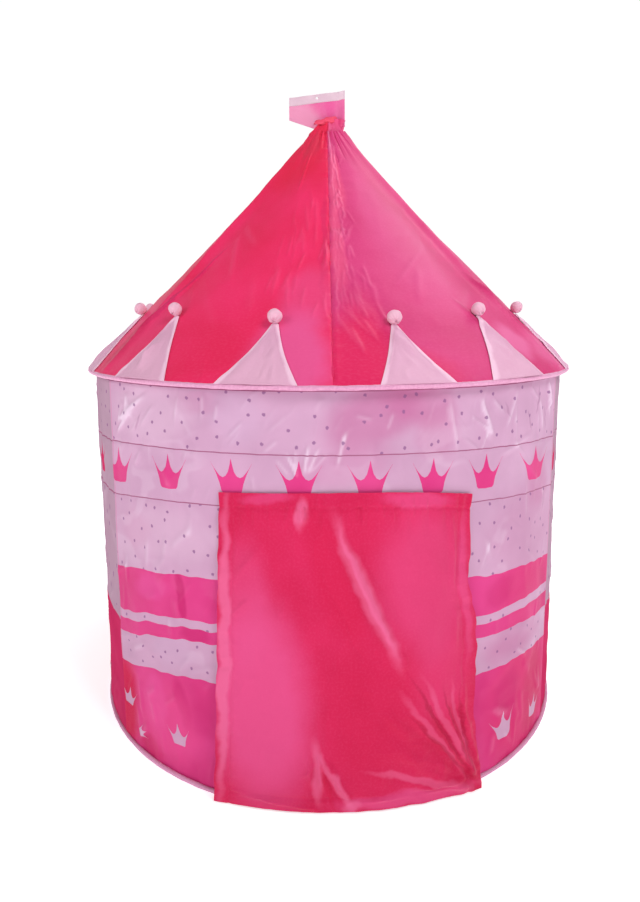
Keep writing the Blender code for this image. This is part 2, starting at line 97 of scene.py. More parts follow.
# %% [markdown]
# ## Surfaces from arrays
# Each piece is a grid of points worked out at once with numpy. A sheet of cloth has an outer face, an inner
# face a cloth's thickness behind it, and rims where it is cut, so it is a closed body and not a paper-thin
# plane.

# %% Grids and meshes
def grid(across, up):
    """Every pair of a place across and a place up, as two arrays."""
    return np.meshgrid(across, up, indexing="ij")


def whole_turn(count):
    """Angles at even steps over a whole turn."""
    return np.linspace(0, 2 * pi, count, endpoint=False)


def wrapped(angle):
    """The same angle between -pi and pi."""
    return (angle + pi) % (2 * pi) - pi


def around(radius, angle, height):
    """Points round the tent's axis: (r sin a, -r cos a, z)."""
    radius, angle, height = np.broadcast_arrays(radius, angle, height)
    return np.stack((radius * np.sin(angle), -radius * np.cos(angle), height), axis=-1)


def wall_radius(height):
    """The wall's cone: straight from its foot to its top."""
    return WALL_TOP + (WALL_FOOT - WALL_TOP) * (EAVE - height) / EAVE


def roof_radius(share):
    """The roof's cone at a share of the way up its slope."""
    return HOOP_EAVE - ROOF_RUN * share


def grid_quads(columns, rows, wrap_across=False, wrap_up=False):
    """Corner numbers of a grid's faces: (i, j), (i+1, j), (i+1, j+1), (i, j+1)."""
    i = np.arange(columns if wrap_across else columns - 1)[:, None]
    j = np.arange(rows if wrap_up else rows - 1)[None, :]
    right, above = (i + 1) % columns, (j + 1) % rows
    corners = (i * rows + j, right * rows + j, right * rows + above, i * rows + above)
    return np.stack(np.broadcast_arrays(*corners), -1).reshape(-1, 4)


def face_uv(columns, rows, lengths):
    """The UV of each face corner of a plain grid that is laid out flat, with its two lengths."""
    places = grid(np.linspace(0, lengths[0], columns), np.linspace(0, lengths[1], rows))
    return np.stack(places, -1).reshape(-1, 2)[grid_quads(columns, rows)]


def facing(points):
    """The unit normal at each grid point: the step across times the step up, as a cross product."""
    normal = np.cross(np.gradient(points, axis=0), np.gradient(points, axis=1))
    return normal / np.maximum(np.linalg.norm(normal, axis=-1, keepdims=True), 1e-12)


def make_piece(name, points, faces, uv, material, sharp=60, marks=None):
    """A smooth mesh object from a grid's points, faces (m, 4) and the UV of each face corner (m, 4, 2). Marks
    say how sharply the cloth is creased at each point, from 0 to 1."""
    used, flat = np.unique(faces, return_inverse=True)
    mesh = bpy.data.meshes.new(name)
    mesh.vertices.add(len(used))
    mesh.vertices.foreach_set("co", points.reshape(-1, 3)[used].astype(np.float32).ravel())
    mesh.loops.add(faces.size)
    mesh.loops.foreach_set("vertex_index", flat.astype(np.int32).ravel())
    mesh.polygons.add(len(faces))
    mesh.polygons.foreach_set("loop_start", np.arange(0, faces.size, 4, dtype=np.int32))
    mesh.update(calc_edges=True)
    mesh.uv_layers.new(name="UVMap").data.foreach_set("uv", uv.astype(np.float32).ravel())
    if marks is not None:
        attribute = mesh.attributes.new("crease", "FLOAT", "POINT")
        attribute.data.foreach_set("value", marks[used].astype(np.float32))
    mesh.validate()
    mesh.materials.append(material)
    mesh.shade_smooth()
    mesh.set_sharp_from_angle(angle=radians(sharp))
    piece = bpy.data.objects.new(name, mesh)
    bpy.context.scene.collection.objects.link(piece)
    return piece


def make_sheet(name, points, uv, material, thickness=CLOTH, keep=None, marks=None, wrap=False):
    """Cloth: the grid is its outer face, the inner face lies a thickness behind along the normals, and every
    edge that belongs to one face only gets a rim. keep says which faces stay, so a doorway can be cut, and
    wrap closes the grid on itself across."""
    columns, rows = points.shape[:2]
    count = columns * rows
    faces = grid_quads(columns, rows, wrap)
    if keep is not None:
        faces = faces[keep.ravel()]
    edges = np.concatenate([faces[:, [k, (k + 1) % 4]] for k in range(4)]).astype(np.int64)
    lonely = ~np.isin(edges[:, 0] * count + edges[:, 1], edges[:, 1] * count + edges[:, 0])
    start, end = edges[lonely].T
    rims = np.stack((end, start, start + count, end + count), -1)
    faces = np.concatenate((faces, faces[:, ::-1] + count, rims))
    both_faces = np.concatenate((points, points - facing(points) * thickness))
    uv = np.tile(uv.reshape(-1, 2), (2, 1))
    if marks is not None:
        marks = np.tile(marks.ravel(), 2)
    return make_piece(name, both_faces, faces, uv[faces], material, marks=marks)


def make_ring(name, points, material, lengths, sharp=60):
    """A surface that closes on itself both across the grid and up it, like a bent tube."""
    columns, rows = points.shape[:2]
    uv = face_uv(columns + 1, rows + 1, lengths)
    return make_piece(name, points, grid_quads(columns, rows, True, True), uv, material, sharp)


def sheet_area(points):
    """The area of a grid's faces: half the cross product of each face's two diagonals."""
    one = points[1:, 1:] - points[:-1, :-1]
    two = points[:-1, 1:] - points[1:, :-1]
    return 0.5 * np.linalg.norm(np.cross(one, two), axis=-1)


def clean_up(piece):
    """Merges points that meet on an axis, and turns the faces outwards."""
    merged = bmesh.new()
    merged.from_mesh(piece.data)
    bmesh.ops.remove_doubles(merged, verts=merged.verts, dist=1e-6)
    bmesh.ops.recalc_face_normals(merged, faces=merged.faces)
    merged.to_mesh(piece.data)
    merged.free()
    piece.data.shade_smooth()
    return piece


def settle(piece, body, slot, *stands_for):
    """Rides a piece on a body and hides the solids that it stands for. slot is not used."""
    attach(piece, body)
    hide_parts(*stands_for)
    return piece


def lay_out(piece, points, flat, held, *rests_on, keep=None):
    """Prints a sheet's area and the area of the flat piece it is cut from. held and rests_on are not used. keep
    picks its faces.
    """
    area = sheet_area(points) if keep is None else sheet_area(points)[keep]
    area = float(area.sum())
    print(piece.name, "area", round(area, 4), "of", round(flat[0] * flat[1], 4))


print("grid helpers ready")

# %% [markdown]
# ## Folds and crinkles
# Thin polyester keeps crisp crinkles from being packed in a bag, and puckers along every seam where the
# thread pulls. Value noise gives the soft waves, its absolute value gives the crisp ridges, and lines drawn
# one by one give the folds that can be picked out on the real tent.

# %% Cloth shapes
def smooth(low, high, x):
    """A smooth step: 0 below low, 1 above high, and 3t^2 - 2t^3 between them."""
    t = np.clip((x - low) / (high - low), 0, 1)
    return t * t * (3 - 2 * t)


def bell(away, width, power=2):
    """exp(-(away / width)^power): 1 in the middle and nearly 0 from twice the width on."""
    return np.exp(-((away / width) ** power))


def noise(x, y, seed):
    """Smooth noise from -1 to 1: random numbers on a lattice, blended between its corners."""
    table = np.random.default_rng(seed).uniform(-1, 1, (64, 64))
    x, y = np.broadcast_arrays(x, y)
    i, j = np.floor(x).astype(int), np.floor(y).astype(int)
    s, t = smooth(0, 1, x - i), smooth(0, 1, y - j)
    low = table[i % 64, j % 64] * (1 - s) + table[(i + 1) % 64, j % 64] * s
    high = table[i % 64, (j + 1) % 64] * (1 - s) + table[(i + 1) % 64, (j + 1) % 64] * s
    return low * (1 - t) + high * t


def crumple(x, y, seed, layers=3):
    """Crisp ridges: the sum of 1 - 2 |noise|, each layer turned and 1.9 times finer and lower."""
    total = 0.0
    for layer in range(layers):
        turn, scale = 0.6 + 1.3 * layer, 1.9**layer
        across = (x * cos(turn) + y * sin(turn)) * scale
        up = (y * cos(turn) - x * sin(turn)) * scale
        total = total + (1 - 2 * np.sqrt(noise(across, up, seed + layer) ** 2 + 0.004)) / scale
    return total


def creases(x, y, lines, unit=MM):
    """Ridges, or furrows where the height is below 0, along lines (x0, y0, x1, y1, width, height), given in a
    unit: the height times exp(-(distance / width)^2), fading over the last third at both ends."""
    total = np.zeros(np.broadcast(x, y).shape)
    for x0, y0, x1, y1, width, height in np.array(lines) / unit:
        run_x, run_y = x1 - x0, y1 - y0
        length = (run_x**2 + run_y**2) ** 0.5
        place = ((x - x0) * run_x + (y - y0) * run_y) / length**2
        away = ((x - x0) * run_y - (y - y0) * run_x) / length
        total += height * bell(away, width) * smooth(0, 0.33, np.minimum(place, 1 - place))
    return total


def strewn(*groups):
    """Random lines for creases(), with middles anywhere in a region (x0, y0, x1, y1). They lean from upright
    by a mean and a spread, and their lengths, widths and heights vary by a third. Each group has a count and
    a seed."""
    lines = []
    for count, x0, y0, x1, y1, lean, spread, length, width, height, seed in groups:
        random = np.random.default_rng(seed)
        for _ in range(count):
            x, y = random.uniform(x0, x1), random.uniform(y0, y1)
            turn = lean + spread * random.uniform(-1, 1)
            half = length * random.uniform(0.33, 0.66)
            wide, tall = width * random.uniform(0.7, 1.3), height * random.uniform(0.65, 1.35)
            run, rise = half * sin(turn), half * cos(turn)
            lines.append((x - run, y - rise, x + run, y + rise, wide, tall))
    return lines


def strands(across, along, seed):
    """Thin ridges that wander down beside the roof's seam, close at the neck and wide apart below."""
    band = np.interp(along, (0.06, 0.20, 0.40, 0.60), (0.058, 0.036, 0.023, 0.011))
    total = 0.0
    for k, share in enumerate((0.24, 0.46, 0.68, 0.90, 1.12)):
        path = share * band + 0.0030 * noise(along / 0.020, k, seed)
        path += 0.0014 * noise(along / 0.008, k, seed + 1)
        kept = 0.15 + 0.85 * smooth(-0.2, 0.4, noise(along / 0.028, k + 7, seed + 2))
        total = total + kept * bell(across - path, 0.0021)
    return total * smooth(0.10, 0.24, along) * smooth(0.66, 0.60, along)


print("fold helpers ready")

# %% [markdown]
# ## Finishes
# One function turns an sRGB hex colour to linear and one adds a node with its settings and links. Satin is
# polyester woven so that long threads lie on top: it is smooth, with a broad bright sheen, and its gloss
# spreads along the folds.

# %% Colour and node helpers
def colour(hex_code):
    """An sRGB hex colour as linear red, green, blue and alpha."""
    parts = [int(hex_code[k : k + 2], 16) / 255 for k in (1, 3, 5)]
    return tuple(c / 12.92 if c <= 0.04045 else ((c + 0.055) / 1.055) ** 2.4 for c in parts) + (1.0,)


def add_node(tree, kind, inputs=(), operation=None, **settings):
    """A node of a kind, with its settings, and its inputs by name or number: a node, a socket or a value."""
    node = tree.nodes.new("ShaderNode" + kind)
    if operation:
        node.operation = operation
    for name, value in settings.items():
        setattr(node, name, value)
    for key, value in (inputs.items() if isinstance(inputs, dict) else enumerate(inputs)):
        if isinstance(value, bpy.types.Node):
            value = value.outputs[0]
        if isinstance(value, bpy.types.NodeSocket):
            tree.links.new(value, node.inputs[key])
        else:
            node.inputs[key].default_value = value
    return node


def new_finish(name, **values):
    """A material with a Principled shader, and uniform values set on its own sockets."""
    made = bpy.data.materials.new(name)
    made.use_nodes = True
    shader = made.node_tree.nodes["Principled BSDF"]
    for key, value in values.items():
        shader.inputs[key.replace("_", " ")].default_value = value
    return made, made.node_tree, shader


def painted(tree, under, over, mask):
    """One colour painted over another where the mask is 1. Each may be a hex colour or a socket."""
    node = add_node(tree, "Mix", {0: mask}, data_type="RGBA")
    for socket, value in ((6, under), (7, over)):
        if isinstance(value, str):
            node.inputs[socket].default_value = colour(value)
        else:
            tree.links.new(value, node.inputs[socket])
    return node.outputs[2]


def clouds(tree, place, scale, low, high, most=1.0):
    """A mask of soft blots: noise, from 0 where it is low to the most where it is high."""
    slow = add_node(tree, "TexNoise", {"Vector": place, "Scale": scale, "Detail": 2.0})
    return add_node(tree, "MapRange", [slow, low, high, 0.0, most])


def painted_crease_glints(tree, shown, pale, strength):
    """Painted highlights: paints the cloth paler where its marks say that it is sharply creased, as glints on
    the creases.
    """
    crease = add_node(tree, "Attribute", attribute_name="crease").outputs["Fac"]
    return painted(tree, shown, pale, add_node(tree, "Math", [crease, strength], "MULTIPLY"))


# Soft ovals of colour. Most tables painted with them are painted sheen, highlights and shade; the flags' bound
# edges are their real colour.
def tone_and_shade_ovals(tree, place, shown, patches):
    """Paints soft ovals (u, v, half width, half height, lean, strength, colour), their edges bent a little by
    noise. The lean is in radians, from upright to the left."""
    bend = add_node(tree, "TexNoise", {"Vector": place, "Scale": 16.0, "Detail": 3.0}).outputs["Color"]
    bend = add_node(tree, "VectorMath", [bend, (0.5, 0.5, 0.5)], "SUBTRACT")
    bend = add_node(tree, "VectorMath", [bend, (0.035, 0.035, 0.0)], "MULTIPLY")
    bent = add_node(tree, "VectorMath", [place, bend], "ADD")
    for u, v, wide, tall, lean, strength, dye in patches:
        away = add_node(tree, "VectorMath", [bent, (u / MM, v / MM, 0.0)], "SUBTRACT")
        away = add_node(tree, "VectorRotate", {"Vector": away, "Angle": -lean}, rotation_type="Z_AXIS")
        away = add_node(tree, "VectorMath", [away, (wide / MM, tall / MM, 1.0)], "DIVIDE")
        away = add_node(tree, "VectorMath", [away], "LENGTH").outputs["Value"]
        mask = add_node(tree, "MapRange", [away, 0.45, 1.10, strength, 0.0], interpolation_type="SMOOTHSTEP")
        shown = painted(tree, shown, dye, mask)
    return shown


print("node helpers ready")

# %% [markdown]
# ### Hot pink satin polyester
# The roof and the door are the same cloth: woven satin with about 0.3 mm threads, too fine to show, so the
# weave is drawn at 1 mm. A fine crinkle goes into the bump, and the colour drifts a little, as dyed cloth
# does. On the roof, neck and door, soft patches of pinker and redder colour are painted sheen and painted
# shade, and sharp creases are painted paler as highlights.

# %% Satin
THREAD = 0.001


def weave_bump(tree, shader, place, crinkle, strength):
    """A fine crinkle, and a weave of two crossed waves, as bump. place is the coordinate in metres."""
    noisy = {"Vector": place, "Scale": 1 / crinkle, "Detail": 4.0, "Roughness": 0.6}
    fine = add_node(tree, "TexNoise", noisy)
    waves = []
    for axis in add_node(tree, "SeparateXYZ", [place]).outputs[:2]:
        turn = add_node(tree, "Math", [axis, 2 * pi / THREAD], "MULTIPLY")
        waves.append(add_node(tree, "Math", [turn], "SINE"))
    cross = add_node(tree, "Math", waves, "MULTIPLY")
    height = add_node(tree, "Math", [cross, 0.06, fine], "MULTIPLY_ADD")
    bump = add_node(tree, "Bump", {"Height": height, "Strength": strength, "Distance": 0.001})
    tree.links.new(bump.outputs[0], shader.inputs["Normal"])


def satin(name, base, deep, mottle_and_glint_dye, patches=(), roughness=0.46, gloss=0.10, mottled=0.10):
    """Satin: two close dyes mixed by slow noise, a broad gloss and a soft sheen. The gloss takes some of the
    dye, because light goes in and out of the clear fibres."""
    made, tree, shader = new_finish(
        name, Roughness=roughness, Sheen_Weight=0.02, Sheen_Roughness=0.4, Sheen_Tint=colour("#F08CE0"),
        Specular_IOR_Level=gloss, Specular_Tint=colour("#E8A0F0"),
    )
    place = add_node(tree, "UVMap").outputs[0]
    shown = painted(tree, base, deep, clouds(tree, place, 7.0, 0.35, 0.65))
    # Soft ovals of other colours: on the roof, neck and door they are painted sheen and painted shade
    shown = tone_and_shade_ovals(tree, place, shown, patches)
    shown = painted(tree, shown, mottle_and_glint_dye, clouds(tree, place, 240.0, 0.45, 0.80, mottled))
    # Painted highlights: sharply creased places are painted paler, as glints
    shown = painted_crease_glints(tree, shown, mottle_and_glint_dye, 0.32)
    tree.links.new(shown, shader.inputs["Base Color"])
    weave_bump(tree, shader, place, 0.012, 0.25)
    return made


# Each patch: u, v, half width, half height in millimetres, lean, strength, colour
PINK, ROSE, CRIMSON, RED, SHADE = "#DE5A94", "#D8588E", "#D8285A", "#D82440", "#B42458"
# On the roof u is the angle x 300 and v is up the slope. Its patches are painted sheen and painted shade:
# the pinks stand in for satin's sheen, the crimson and red ones for shade, and the SHADE ones for darker
# shade in creases and along the poles.
LEFT_PATCHES = (
    (-46, 50, 54, 140, 0, 0.8, PINK), (-30, 200, 50, 90, 0, 0.35, PINK), (-180, 620, 240, 150, 0, 0.7, RED),
    (-300, 100, 90, 160, 0, 0.2, PINK), (-275, 200, 7, 150, -0.21, 0.5, SHADE),
    (-302, 90, 24, 100, 0, 0.55, "#B82048"), (-148, 630, 100, 50, 0, 0.5, "#C03448"),
    (-12, 350, 10, 150, 0, 0.28, SHADE),
)
RIGHT_PATCHES = (
    (18, 20, 52, 200, -0.12, 0.95, CRIMSON), (60, 10, 75, 80, 0, 0.7, CRIMSON),
    (150, 360, 80, 240, 0.1, 0.4, ROSE), (310, 50, 50, 80, 0, 0.6, "#E070A0"),
    (244, 82, 32, 55, 0, 0.6, "#E878AC"), (30, 520, 34, 120, 0, 0.65, "#E4567E"),
    (14, 340, 18, 160, 0, 0.6, "#E4567E"), (22, 660, 16, 60, 0, 0.6, "#E080A8"),
    (199, 120, 6, 85, 0.25, 0.4, SHADE), (306, 170, 8, 135, 0.28, 0.4, SHADE),
    (60, 600, 5, 60, 0.1, 0.6, SHADE), (115, 620, 5, 50, 0.05, 0.5, SHADE),
)
DOOR_SHEEN, DOOR_HIGHLIGHT, DOOR_DEEP_SHADE, DOOR_SHADE = "#DE528A", "#E66C9A", "#CA1E48", "#A81438"
# On the door u is across from its middle and v is up from its foot. Its patches are painted light and shade:
# the rose ones are painted sheen, the lightest ones painted highlights along folds and hems, and the deep
# crimson and darkest ones painted shade in folds and creases.
DOOR_PATCHES = (
    (-158, 190, 112, 235, 0.1, 0.8, DOOR_SHEEN), (-190, 370, 55, 140, 0, 0.35, DOOR_SHEEN),
    (150, 410, 120, 160, 0, 0.4, DOOR_SHEEN), (175, 240, 70, 100, 0, 0.22, DOOR_SHEEN),
    (-24, 420, 50, 150, 0.34, 0.7, DOOR_DEEP_SHADE), (50, 170, 110, 160, 0, 0.45, DOOR_DEEP_SHADE),
    (-232, 280, 14, 330, 0, 0.65, DOOR_HIGHLIGHT), (230, 400, 12, 160, 0, 0.4, DOOR_SHEEN),
    (-150, 550, 60, 12, 0, 0.4, DOOR_SHEEN), (130, 548, 80, 14, 0, 0.45, DOOR_SHEEN),
    (110, 14, 150, 20, 0, 0.65, DOOR_SHEEN), (33, 392, 18, 165, 0.44, 0.5, DOOR_HIGHLIGHT),
    (35, 392, 8, 145, 0.44, 0.5, DOOR_HIGHLIGHT), (-54, 75, 13, 70, 0.1, 0.5, DOOR_HIGHLIGHT),
    (-20, 50, 10, 65, 0.55, 0.55, DOOR_HIGHLIGHT), (-36, 45, 6, 55, 0.32, 0.6, DOOR_DEEP_SHADE),
    (5, 12, 18, 12, 0, 0.5, DOOR_HIGHLIGHT), (-84, 525, 14, 30, 0, 0.65, DOOR_HIGHLIGHT),
    (184, 142, 8, 125, 0.46, 0.35, DOOR_HIGHLIGHT), (160, 122, 7, 125, 0.58, 0.3, DOOR_HIGHLIGHT),
    (213, 136, 6, 105, 0.22, 0.35, DOOR_HIGHLIGHT), (174, 132, 5.5, 135, 0.5, 0.6, DOOR_SHADE),
    (204, 124, 4.5, 110, 0.29, 0.55, DOOR_SHADE), (172, 98, 4.5, 110, 0.66, 0.5, DOOR_SHADE),
    (222, 120, 4, 100, 0.1, 0.5, DOOR_SHADE), (130, 46, 9, 110, 1.3, 0.4, DOOR_HIGHLIGHT),
)
# Painted shade on the gathered neck: red on its left side, and a darker line in a fold on its right
NECK_PATCHES = (
    (175, 20, 34, 60, 0, 0.95, "#E02848"), (30, 20, 4, 60, 0, 0.7, "#C02C60"),
)
TAB_PATCHES = (
    (15, 20, 50, 50, 0, 0.9, "#DA92B2"), (85, 20, 12, 50, 0, 0.6, "#D6508E"),
)
EDGE_BINDING = (
    (0, 100, 9.5, 300, 0, 1, "#EAC0D6"),
)
HOT = "hot pink satin polyester, "
roof_satin = satin(HOT + "roof", "#E83064", "#DE2854", "#EC709E", LEFT_PATCHES)
# Painted sheen: every second gore has a lighter pink dye, standing in for the sheen satin shows across its
# grain
sheen_painted_satin = satin(HOT + "roof, painted sheen", "#D4427C", "#CA3870", "#E87CA8", RIGHT_PATCHES)
neck_satin = satin(HOT + "neck", "#DA5080", "#D04070", "#F094B0", NECK_PATCHES)
knot_satin = satin(HOT + "wrap", "#E4506E", "#D63E5C", "#F49CA8")
door_satin = satin(HOT + "door", "#D02856", "#C6204A", "#E0608E", DOOR_PATCHES, roughness=0.42, mottled=0.12)
flag_satin = satin("pale satin polyester, flags", "#DCA8C2", "#D09AB6", "#ECC4D8", EDGE_BINDING, gloss=0.12)
ball_satin = satin("pale satin polyester, stuffed balls", "#E6B4C8", "#DAA2BA", "#F0CCDA")
tab_satin = satin("pink satin polyester, tab", "#D8689A", "#D05C90", "#E6A0C0", TAB_PATCHES, roughness=0.42)
print("satins", len(bpy.data.materials))

# %% [markdown]
# ### Printed taffeta
# The wall is pale mauve taffeta with a heat-transfer print: dotted bands, plain bands with tall crowns, and
# dark pink bands with small pale crowns. The print is worked out from the sheet's own UV in metres: u runs
# round the wall and v up it, so it follows the cloth where it droops. A crown is drawn by two curves, its
# lower and its upper edge, over the distance from its middle.

# %% Print
CROWN_TOP = (
    (0.0, 1.0), (0.06, 0.82), (0.15, 0.62), (0.28, 0.50), (0.42, 0.46), (0.56, 0.50), (0.72, 0.61),
    (0.86, 0.73), (1.0, 0.88),
)
CROWN_LOW = ((0.0, 0.0), (0.42, 0.02), (0.50, 0.08), (0.58, 0.30), (0.70, 0.50), (0.85, 0.70), (1.0, 0.87))
CROWN_BAND = (0.540, 0.628)
CROWN_FOOT = 0.5610
CROWN_HALF = 0.037
CROWN_HEIGHT = 0.059
SMALL_HALF = 0.025
SMALL_HEIGHT = 0.040
SMALL_DROP = 0.018
CORNER_PLACE = 0.4945
PIPING = 0.0018
SEAM_HALF = 0.0010
# A stitched line just under the eave binding, darkened also as the binding's painted shadow
EAVE_SEAM_SHADOW = EAVE - 0.0065


def edge_curve(tree, x, points):
    """A Float Curve through points, read at x."""
    node = add_node(tree, "FloatCurve", {1: x})
    line = node.mapping.curves[0]
    line.points[0].location, line.points[1].location = points[0], points[-1]
    for point in points[1:-1]:
        line.points.new(*point)
    for point in line.points:
        point.handle_type = "VECTOR"
    node.mapping.update()
    return node


def crown_mask(tree, x, y, half_width, height):
    """1 inside a crown with its foot's middle at (0, 0): lower edge < y < upper edge, |x| < half width."""
    share = add_node(tree, "Math", [x, half_width], "DIVIDE")
    share = add_node(tree, "Math", [share], "ABSOLUTE")
    rise = add_node(tree, "Math", [y, height], "DIVIDE")
    inside = add_node(tree, "Math", [share, 1.0], "LESS_THAN")
    for edge, side in ((CROWN_TOP, "LESS_THAN"), (CROWN_LOW, "GREATER_THAN")):
        kept = add_node(tree, "Math", [rise, edge_curve(tree, share, edge)], side)
        inside = add_node(tree, "Math", [inside, kept], "MULTIPLY")
    return inside


def band_mask(tree, place, middle, half):
    """1 where a place is within half a width of the middle."""
    return add_node(tree, "Math", [place, middle, half], "COMPARE")


def printed_cloth(name, dyes, dark_bands, crowns, small_crowns, patches=(), dark_shading=(), gloss=0.05):
    """Printed taffeta. Bands are heights on the print in metres, crowns are (place, stretch) and small crowns
    are (place, height, tilt, size). The two pale and the two dark dyes are mixed by slow noise, patches paint
    shade and light on the pale ground and the dark shading ones on the dark ink, and sharp creases are painted
    paler as highlights."""
    made, tree, shader = new_finish(
        name, Roughness=0.46, Specular_IOR_Level=gloss, Specular_Tint=colour("#F4D4F0"),
    )
    place = add_node(tree, "UVMap").outputs[0]
    u, v = add_node(tree, "SeparateXYZ", [place]).outputs[:2]
    fade = clouds(tree, place, 9.0, 0.3, 0.7)
    # Painted shade and light from the patches, and painted highlights where the cloth is sharply creased
    pale = tone_and_shade_ovals(tree, place, painted(tree, *dyes[:2], fade), patches)
    pale = painted_crease_glints(tree, pale, "#E8D0E4", 0.60)
    dark = tone_and_shade_ovals(tree, place, painted(tree, *dyes[2:], fade), dark_shading)
    dark = painted_crease_glints(tree, dark, "#EE9CC4", 0.20)
    # Dots: the distance to the nearest point of a loose pattern, made ragged
    ragged = add_node(tree, "TexNoise", {"Vector": place, "Scale": 260.0, "Detail": 1.0})
    cells = add_node(
        tree, "TexVoronoi", {"Vector": place, "Scale": 27.0, "Randomness": 0.8}, voronoi_dimensions="2D"
    )
    spots = add_node(tree, "Math", [ragged, 0.09, -0.045], "MULTIPLY_ADD")
    spots = add_node(tree, "Math", [spots, cells], "ADD")
    dots = add_node(tree, "MapRange", [spots, 0.060, 0.090, 0.80, 0.0])
    shown = painted(tree, pale, "#8A5A88", dots)
    low, high = CROWN_BAND
    shown = painted(tree, shown, pale, band_mask(tree, v, (low + high) / 2, (high - low) / 2))
    for corner in (-CORNER_PLACE, CORNER_PLACE):
        shown = painted(tree, shown, "#C88AAC", band_mask(tree, u, corner, PIPING))
    # Tall crowns: the distance to the nearest of their places
    nearest = None
    for middle, stretch in crowns:
        away = add_node(tree, "Math", [u, middle], "SUBTRACT")
        away = add_node(tree, "Math", [away], "ABSOLUTE")
        away = add_node(tree, "Math", [away, stretch], "DIVIDE")
        nearest = away if nearest is None else add_node(tree, "Math", [nearest, away], "MINIMUM")
    y = add_node(tree, "Math", [v, CROWN_FOOT], "SUBTRACT")
    shown = painted(tree, shown, dark, crown_mask(tree, nearest, y, CROWN_HALF, CROWN_HEIGHT))
    for low, high in dark_bands:
        shown = painted(tree, shown, dark, band_mask(tree, v, (low + high) / 2, (high - low) / 2))
    for middle, height, tilt, size in small_crowns:
        spot = add_node(tree, "VectorMath", [place, (middle, height - SMALL_DROP * size, 0.0)], "SUBTRACT")
        spot = add_node(tree, "VectorRotate", {"Vector": spot, "Angle": tilt}, rotation_type="Z_AXIS")
        x, y = add_node(tree, "SeparateXYZ", [spot]).outputs[:2]
        shown = painted(tree, shown, pale, crown_mask(tree, x, y, SMALL_HALF * size, SMALL_HEIGHT * size))
    # Dark stitched lines at the seams; the one under the eave binding is also the binding's painted shadow
    for height in (*CROWN_BAND, EAVE_SEAM_SHADOW):
        shown = painted(tree, shown, "#A06080", band_mask(tree, v, height, SEAM_HALF))
    tree.links.new(shown, shader.inputs["Base Color"])
    weave_bump(tree, shader, place, 0.010, 0.3)
    return made


def spread_crowns(first, last, seed):
    """Tall crowns at even steps of about 110 mm, and small ones that are thrown about and tilted."""
    count = round((last - first) / 0.110)
    tall = [first + (last - first) * (k + 0.5) / count for k in range(count)]
    throw = np.random.default_rng(seed).uniform(-1, 1, (count, 3)).tolist()
    small = [(place + 0.02 * a, 0.065 + 0.02 * b, 0.5 * c, 1.0) for place, (a, b, c) in zip(tall, throw)]
    return [(place, 1.0) for place in tall], small


FRONT_BANDS = ((-0.05, 0.218), (0.291, 0.314), (0.330, 0.410))
FRONT_CROWNS = (
    (-0.472, 1.4), (-0.318, 1.1), (-0.192, 1.0), (-0.078, 1.0), (0.036, 1.0), (0.1445, 1.0), (0.252, 1.05),
    (0.405, 1.7),
)
FRONT_SMALL = (
    (-0.478, 0.124, 0.10, 1.15), (-0.438, 0.062, 1.1, 0.70), (-0.318, 0.088, -0.10, 1.15),
    (0.322, 0.092, -0.15, 1.5), (0.442, 0.072, 0.2, 1.3),
)
# Painted shade and light on the front wall's pale ground: the warm pink ovals are painted shade, the pale ones
# painted light, and the thin dusky strokes painted shadows in creases
WARM, COOL, DUSK = "#B86090", "#C8A6C4", "#9C6A8C"
WALL_SHADE_AND_LIGHT = (
    (45, 690, 110, 60, 0.4, 0.55, WARM), (120, 705, 80, 45, -0.3, 0.45, WARM),
    (150, 660, 50, 50, 0.5, 0.35, WARM), (0, 610, 90, 40, 0.2, 0.3, WARM), (360, 265, 130, 50, 0, 0.3, WARM),
    (380, 470, 140, 100, 0, 0.18, WARM), (-250, 705, 60, 25, 0, 0.2, WARM),
    (420, 560, 60, 60, 0.3, 0.35, WARM), (-420, 480, 60, 40, 0, 0.2, WARM), (330, 240, 90, 40, 0, 0.25, WARM),
    (-330, 270, 60, 40, 0, 0.3, COOL), (-180, 690, 60, 60, 0.3, 0.3, COOL),
    (-370, 690, 130, 70, 0, 0.45, "#D8B4CC"), (-340, 480, 150, 60, 0, 0.3, "#D8B4CC"),
    (402, 700, 3.5, 24, -0.35, 0.6, DUSK), (372, 668, 3, 20, 0.4, 0.45, DUSK),
    (445, 660, 3, 28, 0.25, 0.45, DUSK), (300, 690, 3, 22, 0.6, 0.35, DUSK),
    (-395, 665, 3, 22, -0.6, 0.35, DUSK), (455, 520, 3, 18, 0.1, 0.5, DUSK),
)
# Painted shade and light on the front wall's dark print: the deeper reds are painted shade and the lighter
# pinks painted light
INK, DEEP_SHADE_ON_INK, LIGHT_ON_INK = "#C02468", "#C01E58", "#E058A0"
DARK_PRINT_SHADE_AND_LIGHT = (
    (390, 120, 160, 200, 0, 0.5, "#CC1E58"), (400, 370, 140, 80, 0, 0.45, "#CE2868"),
    (-492, 110, 62, 170, 0, 1, "#C8104A"), (-300, 370, 12, 60, 0.1, 0.75, INK),
    (-270, 300, 40, 18, 0, 0.6, INK), (-310, 170, 20, 60, 0.3, 0.7, INK), (-270, 140, 40, 50, -0.4, 0.5, INK),
    (-380, 140, 40, 80, 0, 0.45, LIGHT_ON_INK), (-400, 30, 50, 30, 0, 0.7, DEEP_SHADE_ON_INK),
    (-380, 380, 60, 30, 0, 0.35, LIGHT_ON_INK), (300, 370, 50, 40, 0.2, 0.35, INK),
    (470, 300, 30, 120, 0, 0.5, INK), (330, 150, 50, 60, -0.3, 0.5, INK),
    (440, 110, 60, 130, 0, 0.6, DEEP_SHADE_ON_INK), (-350, 110, 90, 110, 0, 0.45, "#E85090"),
)
DYES = ("#CCA0BE", "#C094B2", "#DA4488", "#CE3678")
